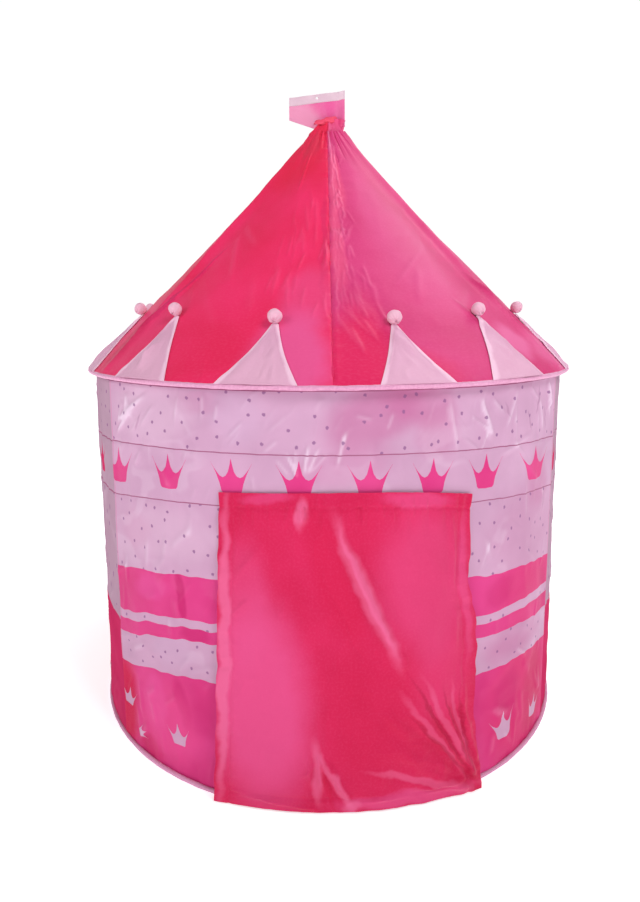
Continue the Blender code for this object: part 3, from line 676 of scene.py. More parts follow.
# Painted shade: the side panels have darker, greyer dyes, as they face away from the light
SIDE_SHADED_DYES = ("#B896AA", "#AC8A9E", "#CC3868", "#BE2E5C")
left_tall = ((-0.590, 1.0), *spread_crowns(-1.10, -0.66, 1)[0])
left_small = spread_crowns(-1.10, -0.60, 2)[1]
right_tall = ((0.530, 1.0), *spread_crowns(0.59, 1.10, 3)[0])
right_small = spread_crowns(0.54, 1.10, 4)[1]
TAFFETA = "printed taffeta, "
front_print = printed_cloth(TAFFETA + "front", DYES, FRONT_BANDS, FRONT_CROWNS, FRONT_SMALL, WALL_SHADE_AND_LIGHT, DARK_PRINT_SHADE_AND_LIGHT)
left_print = printed_cloth(TAFFETA + "left", SIDE_SHADED_DYES, FRONT_BANDS[:1], left_tall, left_small, gloss=0.0)
right_print = printed_cloth(TAFFETA + "right", SIDE_SHADED_DYES, FRONT_BANDS[:1], right_tall, right_small, gloss=0.0)
back_print = printed_cloth(TAFFETA + "back", DYES, FRONT_BANDS, *spread_crowns(1.11, 2.09, 5))
print(front_print.name, len(front_print.node_tree.nodes), "nodes")

# %% [markdown]
# ### Bindings, plastic and steel
# Binding tape is matt woven polyester in pale pink. The strip on the tab is milky soft PVC, the poles are
# extruded white polypropylene, the fittings are moulded ABS, the foot caps are grey rubber and the hoops are
# drawn spring steel.

# %% Other finishes
def plain_finish(name, base, deep, roughness, grain, bump=0.2, **values):
    """A finish of two close colours mixed by noise of a grain size in metres, with the same noise as bump."""
    made, tree, shader = new_finish(name, Roughness=roughness, **values)
    place = add_node(tree, "TexCoord").outputs["Object"]
    spots = add_node(tree, "TexNoise", {"Vector": place, "Scale": 1 / grain, "Detail": 3.0})
    share = add_node(tree, "MapRange", [spots, 0.35, 0.65, 0.0, 1.0])
    tree.links.new(painted(tree, base, deep, share), shader.inputs["Base Color"])
    rough = add_node(tree, "Bump", {"Height": spots, "Strength": bump, "Distance": 0.0005})
    tree.links.new(rough.outputs[0], shader.inputs["Normal"])
    return made


TAPE = "polyester binding tape, pale pink"
binding = plain_finish(TAPE, "#DD9DC0", "#D38FB4", 0.6, 0.004, Sheen_Weight=0.1)
milky = plain_finish("soft PVC strip, milky", "#E2C6D4", "#DABCCC", 0.3, 0.02, Transmission_Weight=0.2)
tube_white = plain_finish("extruded polypropylene tube, white", "#E4E3E0", "#DDDCD9", 0.42, 0.01, 0.05)
moulded = plain_finish("moulded ABS, white", "#E0DFDD", "#D9D8D6", 0.35, 0.006, 0.08)
rubber = plain_finish("moulded rubber, grey", "#4A4A4C", "#3F3F41", 0.75, 0.003, 0.2)
steel = plain_finish("drawn spring steel", "#8A8A8C", "#7C7C7F", 0.35, 0.002, 0.1, Metallic=1.0)
for name, node in nodes.items():
    if "elbow" in name or name == "apex_hub":
        node.material_slots[0].material = moulded
    elif "cap" in name:
        node.material_slots[0].material = rubber
    elif "ferrule" in name:
        node.material_slots[0].material = steel
print("finishes", len(bpy.data.materials))

# %% [markdown]
# ## The wall
# The wall's cloth is one print with seams where the poles stand, and the doorway cut out of the front. It
# hangs between the eave binding and the floor binding: taut at both, crinkled between them, pushed out a
# little by the poles and puckered along the two seams that cross it. The print droops towards the sides, so
# the UV is measured between the heights that its bands really have there.

# %% Wall shape
BANDS = np.array((0.0, 0.218, 0.291, 0.314, 0.330, 0.410, 0.540, 0.628, EAVE))
BANDS_LEFT = np.array((0.0, 0.171, 0.235, 0.264, 0.281, 0.371, 0.514, 0.616, EAVE))
BANDS_RIGHT = np.array((0.0, 0.190, 0.250, 0.290, 0.312, 0.366, 0.511, 0.609, EAVE))
BANDS_SIDE = np.array((0.0, 0.258, 0.262, 0.264, 0.266, 0.270, 0.514, 0.614, EAVE))
BANDS_MIDDLE = radians(-4)
WIDE_PANEL, NARROW_PANEL = (1.02, 0.745), (0.62, 0.745)
CREASED = 0.0034
WALL_LINES = (
    # Millimetres: across from the door's middle, height, across, height, width, how far it stands out
    (-75, 586, -102, 640, 4.2, 3.6), (-72, 588, -60, 655, 4, 3.6), (-68, 590, -42, 650, 4, 3.2),
    (-80, 588, -84, 645, 3.8, 3), (-64, 594, -26, 640, 3.8, 2.4), (-88, 590, -120, 628, 4.5, 2.6),
    (-2, 675, -20, 598, 4.5, 3.2), (4, 692, 46, 682, 4.5, 2.2), (75, 700, 60, 660, 4.5, 2.4),
    (-485, 645, -350, 722, 6, 3.8), (-475, 632, -400, 690, 5, 2.8), (-440, 718, -405, 655, 5, 2),
    (-300, 700, -255, 640, 7, 2), (165, 735, 195, 600, 5.5, 2.8), (225, 725, 270, 630, 6, 3),
    (330, 730, 290, 640, 6, 2.8), (400, 712, 440, 620, 5.5, 3.2), (450, 735, 478, 640, 6, 3.4),
    (260, 600, 400, 640, 6, 2.2), (340, 600, 430, 530, 7, 2.2), (-260, 500, -330, 440, 8, 2.2),
    *strewn(
        (16, -480, 640, -100, 720, 0.55, 0.5, 55, 4.5, 2, 23),
        (8, -100, 650, 160, 720, 0.45, 0.4, 45, 4.5, 1.4, 24),
        (22, 160, 600, 480, 720, -0.2, 0.9, 60, 3.7, 1.9, 25),
        (10, -480, 540, -140, 620, 0.3, 0.8, 45, 4.5, 1.6, 26),
        (14, -480, 250, -240, 520, 0.4, 0.8, 70, 6.5, 1.8, 27),
        (14, 240, 250, 480, 520, -0.4, 0.8, 70, 4.5, 1.5, 28),
        (14, -480, 30, -240, 240, 0.5, 0.7, 70, 6.5, 2, 29),
        (14, 260, 30, 480, 240, -0.5, 0.7, 70, 6.5, 2.2, 30),
    ),
)
BACK_LINES = strewn(
    (60, -1080, 30, -510, 720, 0.3, 0.9, 75, 4.8, 1.6, 31),
    (60, 510, 30, 1080, 720, -0.3, 0.9, 75, 4.8, 1.6, 32),
    (90, 1120, 30, 2080, 720, 0, 1.1, 75, 4.8, 1.6, 33),
)


def band_heights(angle):
    """The height of each band of the print at an angle: the front's, sinking towards each side's."""
    turn = (angle - BANDS_MIDDLE)[..., None]
    left = np.clip(-turn / radians(51), 0, 1) ** 2.8
    right = np.clip(turn / radians(65), 0, 1) ** 2
    return BANDS + (BANDS_LEFT - BANDS) * left + (BANDS_RIGHT - BANDS) * right


def print_height(height, bands):
    """v on the print: straight between the bands' heights, which differ from place to place."""
    v = np.zeros_like(height)
    for k in range(len(BANDS) - 1):
        share = np.clip((height - bands[..., k]) / (bands[..., k + 1] - bands[..., k]), 0, 1)
        v += share * (BANDS[k + 1] - BANDS[k])
    return v


def creases_at(angle):
    """The front panel has the creases that can be seen, and the others have creases of the same kind."""
    return WALL_LINES if np.abs(angle).max() < POLE + 0.01 else BACK_LINES


def wall_drape(angle, height):
    """How far the wall's cloth stands out from its cone."""
    across = angle * WALL_MEAN
    bands = band_heights(angle)
    # Slow swells, and crisp crinkles of about 1 mm that come in patches
    shape = 0.0030 * noise(across / 0.16 + 7, height / 0.30 + 3, 11)
    patch = 0.35 + 0.65 * smooth(-0.3, 0.5, noise(across / 0.22 + 2, height / 0.22, 12))
    shape += 0.0014 * patch * crumple(across / 0.10, height / 0.08, 21)
    # Puckers every 13 mm along the two seams, and the stitched lines themselves
    for seam, seed in ((bands[..., 6], 31), (bands[..., 7], 33)):
        away = height - seam
        shape += 0.0016 * noise(across / 0.013, away / 0.10, seed) * bell(np.abs(away), 0.022, 1)
        shape -= 0.0010 * bell(away, 0.0022)
    # Puckers where the cloth is sewn into the two bindings
    near_eave = EAVE - height
    shape += 0.0014 * noise(across / 0.011, height / 0.15, 41) * bell(near_eave, 0.035, 1)
    shape += 0.0016 * noise(across / 0.014, height / 0.15, 43) * bell(height, 0.040, 1)
    shape += creases(across, height, creases_at(angle))
    # The poles push the cloth out, and it can't sink into them
    inward = np.minimum(shape, 0)
    for pole in CORNERS.values():
        away = np.abs(wrapped(angle - pole)) * WALL_MEAN
        shape += 0.0028 * bell(away, 0.014, 1.5)
        shape -= inward * bell(away, 0.04)
    # Held flat at both bindings, and nearly flat round the doorway
    taut = smooth(0, 0.012, near_eave) * smooth(0, 0.010, height)
    by_door = np.maximum(np.abs(angle) - DOOR, 0) * WALL_MEAN
    over_door = np.hypot(by_door, np.maximum(height - DOOR_TOP, 0))
    return shape * taut * (0.25 + 0.75 * smooth(0.0, 0.045, over_door))


def make_wall(name, angles, finish, bands, flat, *stands_for, cut=False):
    """One panel of the wall: its cone moved out by the drape, with its print in UV and its doorway."""
    angle, height = grid(angles, wall_rows)
    points = around(wall_radius(height) + wall_drape(angle, height), angle, height)
    u = angle * WALL_MEAN
    # The print's edges waver where the cloth was crooked under the press
    ripple = 0.0045 * noise(u / 0.055, height / 0.12, 47) + 0.0020 * noise(u / 0.020, height / 0.05, 48)
    ripple = ripple * smooth(0.53, 0.44, height) * smooth(0.0, 0.03, height)
    v = print_height(height, band_heights(angle) if bands is None else bands) + ripple
    # Painted highlights: the sharp creases and a net of finer ones are marked, to be painted paler as glints
    marks = np.clip(creases(u, height, creases_at(angle)) / CREASED, 0, 1) ** 3
    net = smooth(0.80, 1.15, crumple(u / 0.10, height / 0.08, 21))
    net = net * smooth(0.0, 0.5, noise(u / 0.15, height / 0.15, 49))
    marks = np.clip(marks + (0.25 if cut else 0.12) * net, 0, 1) * smooth(0, 0.02, EAVE - height)
    keep = None
    if cut:
        beside = np.abs(angle[1:, 1:] + angle[:-1, :-1]) / 2 > DOOR
        keep = beside | ((height[1:, 1:] + height[:-1, :-1]) / 2 > DOOR_TOP)
    piece = make_sheet(name, points, np.stack((u, v), -1), finish, keep=keep, marks=marks)
    settle(piece, "tent", "printed_pink", *stands_for)
    lay_out(piece, points, flat, "stretched", "eave_binding", "base_binding", keep=keep)


def steps(size, *stops):
    """Places from the first stop to the last, at most a size apart, and one at each stop."""
    places = [stops[:1]]
    for first, last in zip(stops, stops[1:]):
        places.append(np.linspace(first, last, int(np.ceil((last - first) / size)) + 1)[1:])
    return np.concatenate(places)


COLUMN = 0.0033 / WALL_MEAN
wall_rows = np.concatenate((steps(0.0044, WALL_LOW, DOOR_TOP), steps(0.0029, DOOR_TOP, EAVE)[1:]))
side_columns = steps(COLUMN * 1.3, POLE, pi - POLE)
make_wall(
    "wall_cloth_front", steps(COLUMN, -POLE, -DOOR, DOOR, POLE), front_print, None, WIDE_PANEL,
    "wall_front_left", "wall_front_right", "wall_over_door", cut=True,
)
make_wall("wall_cloth_left", -side_columns[::-1], left_print, BANDS_SIDE, NARROW_PANEL, "wall_left")
make_wall("wall_cloth_right", side_columns, right_print, BANDS_SIDE, NARROW_PANEL, "wall_right")
back_columns = steps(COLUMN * 1.5, pi - POLE, pi + POLE)
make_wall("wall_cloth_back", back_columns, back_print, BANDS_LEFT, WIDE_PANEL, "wall_back")

# %% [markdown]
# ## The roof
# Four gores of satin are sewn into a cone and drawn together at the neck. The front seam is puckered, the
# cloth is crinkled beside it, and deep folds run into the neck. The gores share one function, so they meet at
# the seams. Satin shows a different pink along its grain and across it, and every second gore is given a
# lighter pink dye as painted sheen.

# %% Roof shape
SEAM_TURN = radians(-2.7)
FOLD_ANGLE = 60
ROOF_LINES = (
    # angle in degrees, share up the slope, angle, share, width as a share of the slope, height
    (-47.0, 0.50, -58.0, 0.10, 0.012, 0.0035),
    (-25.0, 0.92, -22.0, 0.70, 0.020, 0.0020),
    (34.0, 0.30, 42.0, 0.06, 0.014, 0.0030),
    (52.0, 0.42, 66.0, 0.05, 0.016, 0.0040),
)
# Crinkles right of the seam, wrinkles to its left half way up, and long folds that run down to both sides
SEAM_LINES = strewn(
    (12, 6, 420, 24, 620, 0.05, 0.4, 40, 2.6, 1.2, 81), (16, 12, 240, 42, 420, -0.05, 0.5, 45, 3, 1.3, 83),
    (10, 30, 130, 75, 260, -0.35, 0.3, 60, 3.8, 1.2, 84),
    (7, 20, 60, 100, 180, -0.45, 0.2, 110, 4.5, 1.3, 85),
    (22, -120, 160, -6, 360, 0.08, 0.25, 75, 3.8, 1.3, 86),
    (10, -70, 300, -8, 500, 0.05, 0.15, 80, 3.4, 1.2, 87),
    (8, 120, 100, 360, 500, 0.4, 0.5, 160, 10, 1.4, 88),
    (8, -360, 100, -120, 500, -0.4, 0.5, 160, 10, 1.4, 89),
)


def seam_turn(angle):
    """How far the front of the roof is turned on its hoop, fading to nothing at its sides."""
    return SEAM_TURN * np.clip(1 - np.abs(angle) / (pi / 2), 0, 1)


def roof_drape(angle, share):
    """How far the roof's cloth stands out from its cone."""
    across, along = angle * roof_radius(share), share * ROOF_SLANT
    # Slow swells that are widest half way up, and fine crinkles
    belly = np.sin(pi * np.clip(share, 0, 1))
    shape = 0.0035 * noise(angle / 0.30 + 5, share / 0.4, 51) * belly
    shape += 0.0008 * crumple(across / 0.12, along / 0.12, 61)
    # The cloth is held up by the roof poles and sinks between them
    near_pole = np.zeros_like(shape)
    for pole in CORNERS.values():
        near_pole += bell(np.abs(wrapped(angle - pole)) * roof_radius(share), 0.014, 1.6)
    sunk = 0.0045 + 0.0055 * np.cos(angle) ** 2
    shape += 0.0035 * near_pole
    shape -= sunk * (1 - np.clip(near_pole, 0, 1)) * belly
    # Puckers every 11 mm beside each seam, its stitched line, and its turned-in edges
    for seam in (0.0, pi / 2, pi, -pi / 2):
        away = wrapped(angle - seam) * roof_radius(share)
        side = 1.0 if seam == 0.0 else 0.6
        pucker = noise(along / 0.011, np.sign(away) * 3 + away / 0.03, 71) * bell(np.abs(away), 0.014, 1)
        shape += side * (0.0016 * pucker - 0.0012 * bell(away, 0.0026))
        shape += side * 0.0010 * bell(away - 0.007, 0.004)
    shape += bell(angle, 0.9, 4) * (creases(across, along, SEAM_LINES) + 0.0010 * strands(across, along, 99))
    # Folds that run into the neck, coarse ones first
    neck = smooth(0.78, 1.0, share)
    shape += 0.0060 * neck * noise(angle * 3.2, share * 3, 91)
    shape += 0.0030 * neck * noise(angle * 8.0, share * 6, 93)
    shape += 0.0016 * smooth(0.84, 1.0, share) * noise(angle * 19.0, share * 5, 94)
    folds = [(a / FOLD_ANGLE, s, b / FOLD_ANGLE, *rest) for a, s, b, *rest in ROOF_LINES]
    shape += creases(np.degrees(angle) / FOLD_ANGLE, share, folds, 1)
    # Puckers where the roof is sewn into the eave binding
    foot = smooth(0, 0.02, share)
    return shape * foot + 0.0010 * noise(across / 0.010, share / 0.2, 95) * bell(share, 0.05, 1) * foot


def roof_points(angle, share, lift=0.0):
    """The roof's outer face: a slightly hollow cone, moved along its normal by drape and lift."""
    out = roof_drape(angle, share) + lift
    radius = roof_radius(share) - ROOF_SAG * np.sin(pi * share) + out * SLOPE_UP
    return around(radius, angle + seam_turn(angle), ROOF_FOOT + ROOF_RISE * share + out * SLOPE_IN)


def make_gore(quarter, start, crowd, finish):
    """A quarter of the roof from a starting angle. Crowd says where its columns lie, from 0 to 1."""
    angle, share = grid(start + crowd * pi / 2, np.linspace(0, 1, 215))
    points = roof_points(angle, share)
    across, along = angle * roof_radius(share), share * ROOF_SLANT
    # Painted highlights: the strands and the crinkles beside the front seam are marked, to be painted paler
    marks = 0.5 * strands(across, along, 99)
    marks = np.clip(marks + 0.3 * np.clip(creases(across, along, SEAM_LINES) / 0.0016, 0, 1) ** 2, 0, 1)
    uv = np.stack((angle * 0.3, along), -1)
    gore = make_sheet(f"roof_satin_{quarter}", points, uv, finish, marks=marks * (np.abs(angle) < pi / 4))
    settle(gore, "tent", "hot_pink_satin", f"roof_gore_{quarter}")
    lay_out(gore, points, (0.82, 0.70), "stretched", "eave_binding", "apex_hub")


from_seam = np.linspace(0, 1, 216) ** 1.5
to_seam = 1 - from_seam[::-1]
make_gore("back_left", -pi, from_seam, sheen_painted_satin)
make_gore("front_left", -pi / 2, to_seam, roof_satin)
make_gore("front_right", 0.0, from_seam, sheen_painted_satin)
make_gore("back_right", pi / 2, to_seam, roof_satin)

# %% [markdown]
# ## Bindings
# At the eave a folded tape holds the hoop and both cloths, and stands out as a pale rolled edge. The same
# tape runs along the floor. The section is carried round the tent, and its size ripples where the stitches
# pull.

# %% Eave and floor bindings
def make_binding(name, hoop_radius, height, leg, seed, stands_for):
    """A rolled tape: a circle about the hoop with a flat tail of a length towards the wall, carried round."""
    bend = np.linspace(radians(-150), radians(150), 17)
    section_out = np.concatenate((np.cos(bend), [-1.6, -leg / SLEEVE, -leg / SLEEVE, -1.6]))
    section_up = np.concatenate((np.sin(bend), [0.28, 0.24, -0.24, -0.28]))
    angle = whole_turn(900)[:, None]
    pull = 1 + 0.07 * noise(angle * 40, 0.0, seed) + 0.05 * noise(angle * 90, 0.0, seed + 1)
    rise = 0.0004 * noise(angle * 14, 0.0, seed + 2)
    size = np.where(section_out > -1, pull, 1.0)
    out = hoop_radius + section_out * SLEEVE * size
    up = height + section_up * SLEEVE * size + rise
    piece = make_ring(name, around(out, angle, np.maximum(up, 0.0002)), binding, (HOOP_LENGTH, 0.03))
    settle(piece, "tent", "binding_tape", stands_for)


def make_wire(name, radius, height, stands_for):
    """A hoop of round spring wire: a small circle carried round the tent."""
    bend = whole_turn(12)
    points = around(radius + WIRE * np.cos(bend), whole_turn(360)[:, None], height + WIRE * np.sin(bend))
    settle(make_ring(name, points, steel, (HOOP_LENGTH, 0.012)), "tent", "spring_steel", stands_for)


make_binding("eave_binding", HOOP_EAVE, EAVE, 0.0125, 101, "eave_sleeve")
make_binding("base_binding", HOOP_BASE, BASE_HEIGHT, 0.0035, 111, "base_sleeve")
make_wire("base_wire", HOOP_BASE, BASE_HEIGHT, "base_hoop")
make_wire("eave_wire", HOOP_EAVE, EAVE, "eave_hoop")
print("bindings and wires made")

# %% [markdown]
# ## The door
# One satin cloth hangs from a seam over the doorway. It has hems at its sides and foot, one long soft fold
# that falls from the top to the right, and a fan of creases that gathers at its lower right corner. It is
# made in two pieces that share an edge: a head under the seam, and a drop below it.

# %% Door shape
FLAP_TOP = 0.566
FLAP_FOOT = 0.0048
FLAP_TOP_ANGLE = radians(25)
FLAP_FOOT_ANGLE = radians(26.6)
FLAP_WIDE = 0.245
FLAP_TALL = FLAP_TOP - FLAP_FOOT
HEAD_SHARE = 0.11
LEFT_EDGE_SHARE = 0.962
DOWN_SHARES = (0.0, 0.16, 0.20, 0.27, 0.30, 0.38, 0.50, 0.60, 0.68, 0.76, 0.86, 1.0)
RIGHT_EDGE_SHARES = (0.978, 0.958, 0.950, 0.936, 0.946, 0.992, 1.009, 0.985, 0.962, 0.975, 0.998, 1.020)
DOOR_LINES = (
    # Millimetres: across from the middle, down, across, down, width, how far it stands out
    (-26, 45, 94, 300, 9.5, 10.5), (-52, 60, 64, 330, 20, -8), (10, 30, 110, 250, 16, -4),
    (94, 270, 104, 310, 8, 3), (272, 590, 110, 350, 11, 6), (272, 590, 50, 420, 13, 5),
    (272, 590, 100, 390, 8, -4.2), (258, 602, 160, 310, 8.5, 5.2), (258, 602, 138, 345, 6.5, -3.8),
    (258, 602, 205, 290, 6.5, 4.2), (258, 602, 185, 320, 5.5, -3.4), (240, 552, 90, 515, 9, 4.2),
    (234, 550, 110, 470, 8, -4.5), (120, 440, 60, 370, 10, 3.5), (-58, 425, -45, 535, 5.5, 6),
    (-48, 450, 12, 556, 6, 6.5), (-56, 470, -12, 556, 4.5, -4.5), (-75, 440, -66, 520, 5, 3.5),
    (-85, 500, -55, 470, 4, 3), (-48, 280, -58, 545, 12, -4.5), (-88, 4, -82, 60, 6, 7.5),
    (-76, 8, -66, 50, 4.5, 3.5), (-100, 8, -118, 60, 6, 3), (-83, 6, -78, 45, 3, -3.5),
    (-215, 150, -160, 90, 8, 3), (-222, 215, -180, 180, 5, 3), (60, 8, 63, 45, 4, 3),
    (82, 8, 83, 50, 3.5, 2.8), (98, 8, 101, 40, 3.5, 2.8), (118, 8, 119, 46, 3.5, 2.5),
    (145, 8, 148, 36, 4, 2.5), (22, 8, 20, 50, 5, -3), (200, 20, 212, 180, 6, 3.5),
    (205, 190, 196, 290, 6, 3), (-225, 532, -110, 548, 4, 3.4), (-160, 542, -40, 556, 3.6, 3),
    (20, 544, 130, 536, 4, 3), (110, 534, 225, 530, 4, 3.4),
)


def door_points(across, down):
    """The door cloth's outer face: it follows the wall, stands out to pass over the floor binding, drops a
    little at its top right corner, is nicked along its right edge, and carries its folds."""
    right, beside = across > 0, np.abs(across)
    # The top line sags towards its corners, more on the right
    level = 0.0033 - np.where(right, 0.018, 0.0075) * across**2
    height = FLAP_TOP - FLAP_TALL * down + level * (1 - down) - 0.0022 * beside**6 * down
    # The side edges, with small waves
    edge = np.where(right, np.interp(down, DOWN_SHARES, RIGHT_EDGE_SHARES), LEFT_EDGE_SHARE)
    edge += 0.012 * noise(down * 22, 0.0, 121) * beside**4 * np.where(right, 1.0, 0.5)
    angle = across * edge * (FLAP_TOP_ANGLE + (FLAP_FOOT_ANGLE - FLAP_TOP_ANGLE) * down)
    x, y = across * FLAP_WIDE, down * FLAP_TALL
    # The folds, crumpled more at the lower right corner and along both sides
    folds = creases(x, y, DOOR_LINES) + 0.0009 * crumple(x / 0.06, y / 0.09, 131)
    folds += 0.0035 * noise(x / 0.09, y / 0.16, 133)
    corner = smooth(0.30, 0.05, np.hypot(x - 0.24, y - 0.55))
    folds += 0.0022 * corner * crumple(x / 0.05, y / 0.05, 137)
    side = smooth(0.80, 0.97, beside) * (1 - smooth(0.9, 1.0, down))
    folds += 0.0016 * side * noise(x / 0.05, y / 0.018, 139)
    # Hems stand up by a cloth's thickness, with a stitched furrow and puckers beside them
    hem = smooth(0.888, 0.900, beside) + smooth(0.960, 0.966, down) + smooth(0.043, 0.038, down)
    stitched = bell(beside - 0.885, 0.010) + bell(down - 0.957, 0.005) + 1.6 * bell(down - 0.045, 0.005)
    tacked = 0.0024 * noise(x / 0.009, y / 0.05, 135) * bell(down - 0.05, 0.06)
    tacked -= 0.0010 * np.clip(stitched, 0, 1.6)
    tacked += 0.0009 * noise(y / 0.008, x / 0.05, 145) * bell(beside - 0.90, 0.07)
    # It hangs 3 mm off the wall at its seam and up to 22 mm off at its foot
    stand = 0.0030 + (0.0072 + 0.0118 * across**2) * np.clip(down, 0, 1) ** 1.4
    stand = stand + folds * (0.15 + 0.85 * smooth(0, 0.05, down)) + 0.0012 * np.clip(hem, 0, 1) + tacked
    radius = wall_radius(height) + np.maximum(stand, 0.0022)
    return around(np.maximum(radius, 0.5267 * smooth(0.022, 0.010, height)), angle, height)


DOOR_COLUMNS, DOOR_ROWS = 205, 231
rows = np.linspace(1, 0, DOOR_ROWS)
head_row = int(np.argmin(np.abs(rows - HEAD_SHARE)))
across, down = grid(np.linspace(-1, 1, DOOR_COLUMNS), rows)
door = door_points(across, down)
door_uv = np.stack((across * FLAP_WIDE, (1 - down) * FLAP_TALL), -1)
head = make_sheet("door_satin_head", door[:, head_row:], door_uv[:, head_row:], door_satin)
drop = make_sheet("door_satin_drop", door[:, : head_row + 1], door_uv[:, : head_row + 1], door_satin)
for piece, node in ((head, "door_flap_upper"), (drop, "door_flap_lower")):
    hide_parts(node)
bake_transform(head)
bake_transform(drop)
lay_out(head, door[:, head_row:], (0.50, 0.066), "hung", "wall_cloth_front")
lay_out(drop, door[:, : head_row + 1], (0.51, 0.53), "hung", "door_satin_head")

# %% [markdown]
# ## Turret flags
# Each flag is a triangle of pale satin with bound edges, sewn along the eave and lying on the roof. It
# follows the roof's own surface with a small lift, and its tip carries a stuffed ball that is drawn in where
# it is sewn on.

# %% Flags and balls
FLAGS = 13
FLAG_STEP = 2 * pi / FLAGS
FLAG_FIRST = radians(11.7)
FLAG_FOOT = -0.0014
FLAG_TIP = 0.0060
# Number of the flag: how high it reaches, how far its tip leans, and where its left and right feet are
FLAG_FORMS = {
    1: (0.126, -0.002, -0.058, 0.070), 2: (0.143, -0.016, -0.106, 0.038), 12: (0.146, -0.010, -0.056, 0.082),
    13: (0.130, 0.004, -0.070, 0.066),
}
USUAL_FORM = (0.148, 0.003, -0.069, 0.069)
FLAG_COLUMNS, FLAG_ROWS = 65, 57
BALL = 0.0122
BALL_COLUMNS, BALL_ROWS = 44, 27


def flag_points(middle, across, up, form, seed):
    """The flag's outer face, over the roof. It narrows from its feet to a tip 12 mm wide, its sides bow in,
    its tip leans to one side, and it lifts off the roof in one or two shallow folds."""
    tall, lean, left, right = form
    climb = FLAG_FOOT + (tall - FLAG_FOOT) * up
    foot = np.where(across > 0, right, -left)
    bow = 0.005 * np.sin(pi * up) * (1 + 0.8 * noise(0.3, np.sign(across) * 2.0 + 5, seed))
    half = foot + (FLAG_TIP - foot) * up - bow
    share = climb / ROOF_SLANT
    angle = middle + (across * half + lean * up) / roof_radius(share)
    angle = angle - seam_turn(angle)
    x = across * half
    free = smooth(0, 0.15, up) * (1 - smooth(0.85, 1, up))
    wave = 0.0035 * noise(across * 1.4 + 5, up * 2.5, seed + 2) * free
    wave += creases(x, climb, strewn((4, -30, 20, 30, 100, 0.0, 0.5, 70, 6, 2.2, seed))) * free
    wave += 0.0008 * crumple(x / 0.03, climb / 0.04, seed + 5, 2) * (0.3 + free)
    bound = smooth(0.0085, 0.0065, (1 - np.abs(across)) * half)
    inside = 1 - np.abs(across) ** 3
    lift = 0.0012 + 0.0020 * inside + np.maximum(wave, -0.0012) * inside + 0.0008 * bound
    return roof_points(angle, share, lift)


def ball_points(centre, rise, side, out, turn, tall, seed):
    """A stuffed ball: a flattened and wrinkled sphere, pleated at its foot where it is drawn in."""
    pleats = 1 - 0.07 * np.cos(11 * turn + 2 * noise(turn, 0.0, seed)) * bell(pi - tall, 1.1)
    dents = 1 + 0.05 * noise(turn * 1.3, tall * 1.5, seed + 1) * np.sin(tall)
    dents += 0.015 * crumple(turn * 2, tall * 3, seed + 2, 2) * np.sin(tall)
    size = (BALL * pleats * dents)[..., None]
    turn, tall = turn[..., None], tall[..., None]
    ring, upright = np.sin(tall), np.cos(tall) * 0.94
    return centre + size * (rise * upright + side * np.cos(turn) * ring + out * np.sin(turn) * ring)


across, up = grid(np.linspace(-1, 1, FLAG_COLUMNS), np.linspace(0, 1, FLAG_ROWS))
ball_turn, ball_tall = grid(whole_turn(BALL_COLUMNS), np.linspace(0, pi, BALL_ROWS))
ball_faces = grid_quads(BALL_COLUMNS, BALL_ROWS, True)
for k in range(FLAGS):
    middle = wrapped(FLAG_FIRST + k * FLAG_STEP)
    quarter = ("back" if abs(middle) > pi / 2 else "front") + ("_left" if middle < 0 else "_right")
    form = FLAG_FORMS.get(k + 1, USUAL_FORM)
    points = flag_points(middle, across, up, form, 200 + 7 * k)
    edge = (1 - np.abs(across)) * (0.070 * (1 - up) + 0.006 * up)
    uv = np.stack((edge, up * form[0]), -1)
    flag = make_sheet(f"flag_cloth_{k + 1:02d}", points, uv, flag_satin, STIFF_CLOTH)
    settle(flag, "tent", "flag_cloth", f"turret_flag_{k + 1:02d}")
    lay_out(flag, points, (0.146, 0.156), "laid", f"roof_satin_{quarter}")
    tip, below = points[FLAG_COLUMNS // 2, [-1, -13]]
    rise = (tip - below) / np.linalg.norm(tip - below)
    side = np.array((cos(middle), sin(middle), 0.0))
    out = np.cross(side, rise)
    centre = tip + out * 0.0088 + rise * 0.0075
    shape = ball_points(centre, rise, side, out, ball_turn, ball_tall, 300 + 3 * k)
    uv = face_uv(BALL_COLUMNS + 1, BALL_ROWS, (0.075, 0.038))
    ball = make_piece(f"flag_ball_{k + 1:02d}", shape, ball_faces, uv, ball_satin)
    settle(clean_up(ball), "tent", "flag_cloth", f"turret_flag_{k + 1:02d}")

# %% [markdown]
# ## Gather, knot and tab
# The roof's cloth is drawn together above the neck and wrapped once in its own satin. The rest of the cloth
# stands up behind the wrap as a tab, with a milky strip sewn along its top edge to hang the tent by.

# %% Top of the roof
TAB_FOOT = 1.2301
TAB_LEFT = -0.080
TAB_RIGHT = 0.037
TAB_WIDE = 0.117
TAB_RISE = 0.014
HOLE_X, HOLE_Z, HOLE = -0.0215, 0.0581, 0.0024


def gather_points(turn, up):
    """The drawn cloth: a neck from 33 mm to 17 mm radius with deep folds, closed at its top."""
    height = 1.2145 + 0.030 * np.minimum(up / 0.85, 1.0) + 0.004 * smooth(0.85, 1.0, up)
    radius = 0.0335 - 0.0150 * smooth(0, 0.85, up) * (1 - 1.2 * np.clip(np.sin(turn), 0, 1) ** 2)
    radius = radius * (1 - smooth(0.86, 1.0, up))
    folds = 1 + 0.16 * noise(turn * 9 / pi, up * 1.5, 141) + 0.07 * noise(turn * 20 / pi, up * 2, 143)
    radius = radius * folds
    return np.stack((0.003 * up + radius * np.sin(turn), -radius * np.cos(turn) * 0.9, height), -1)


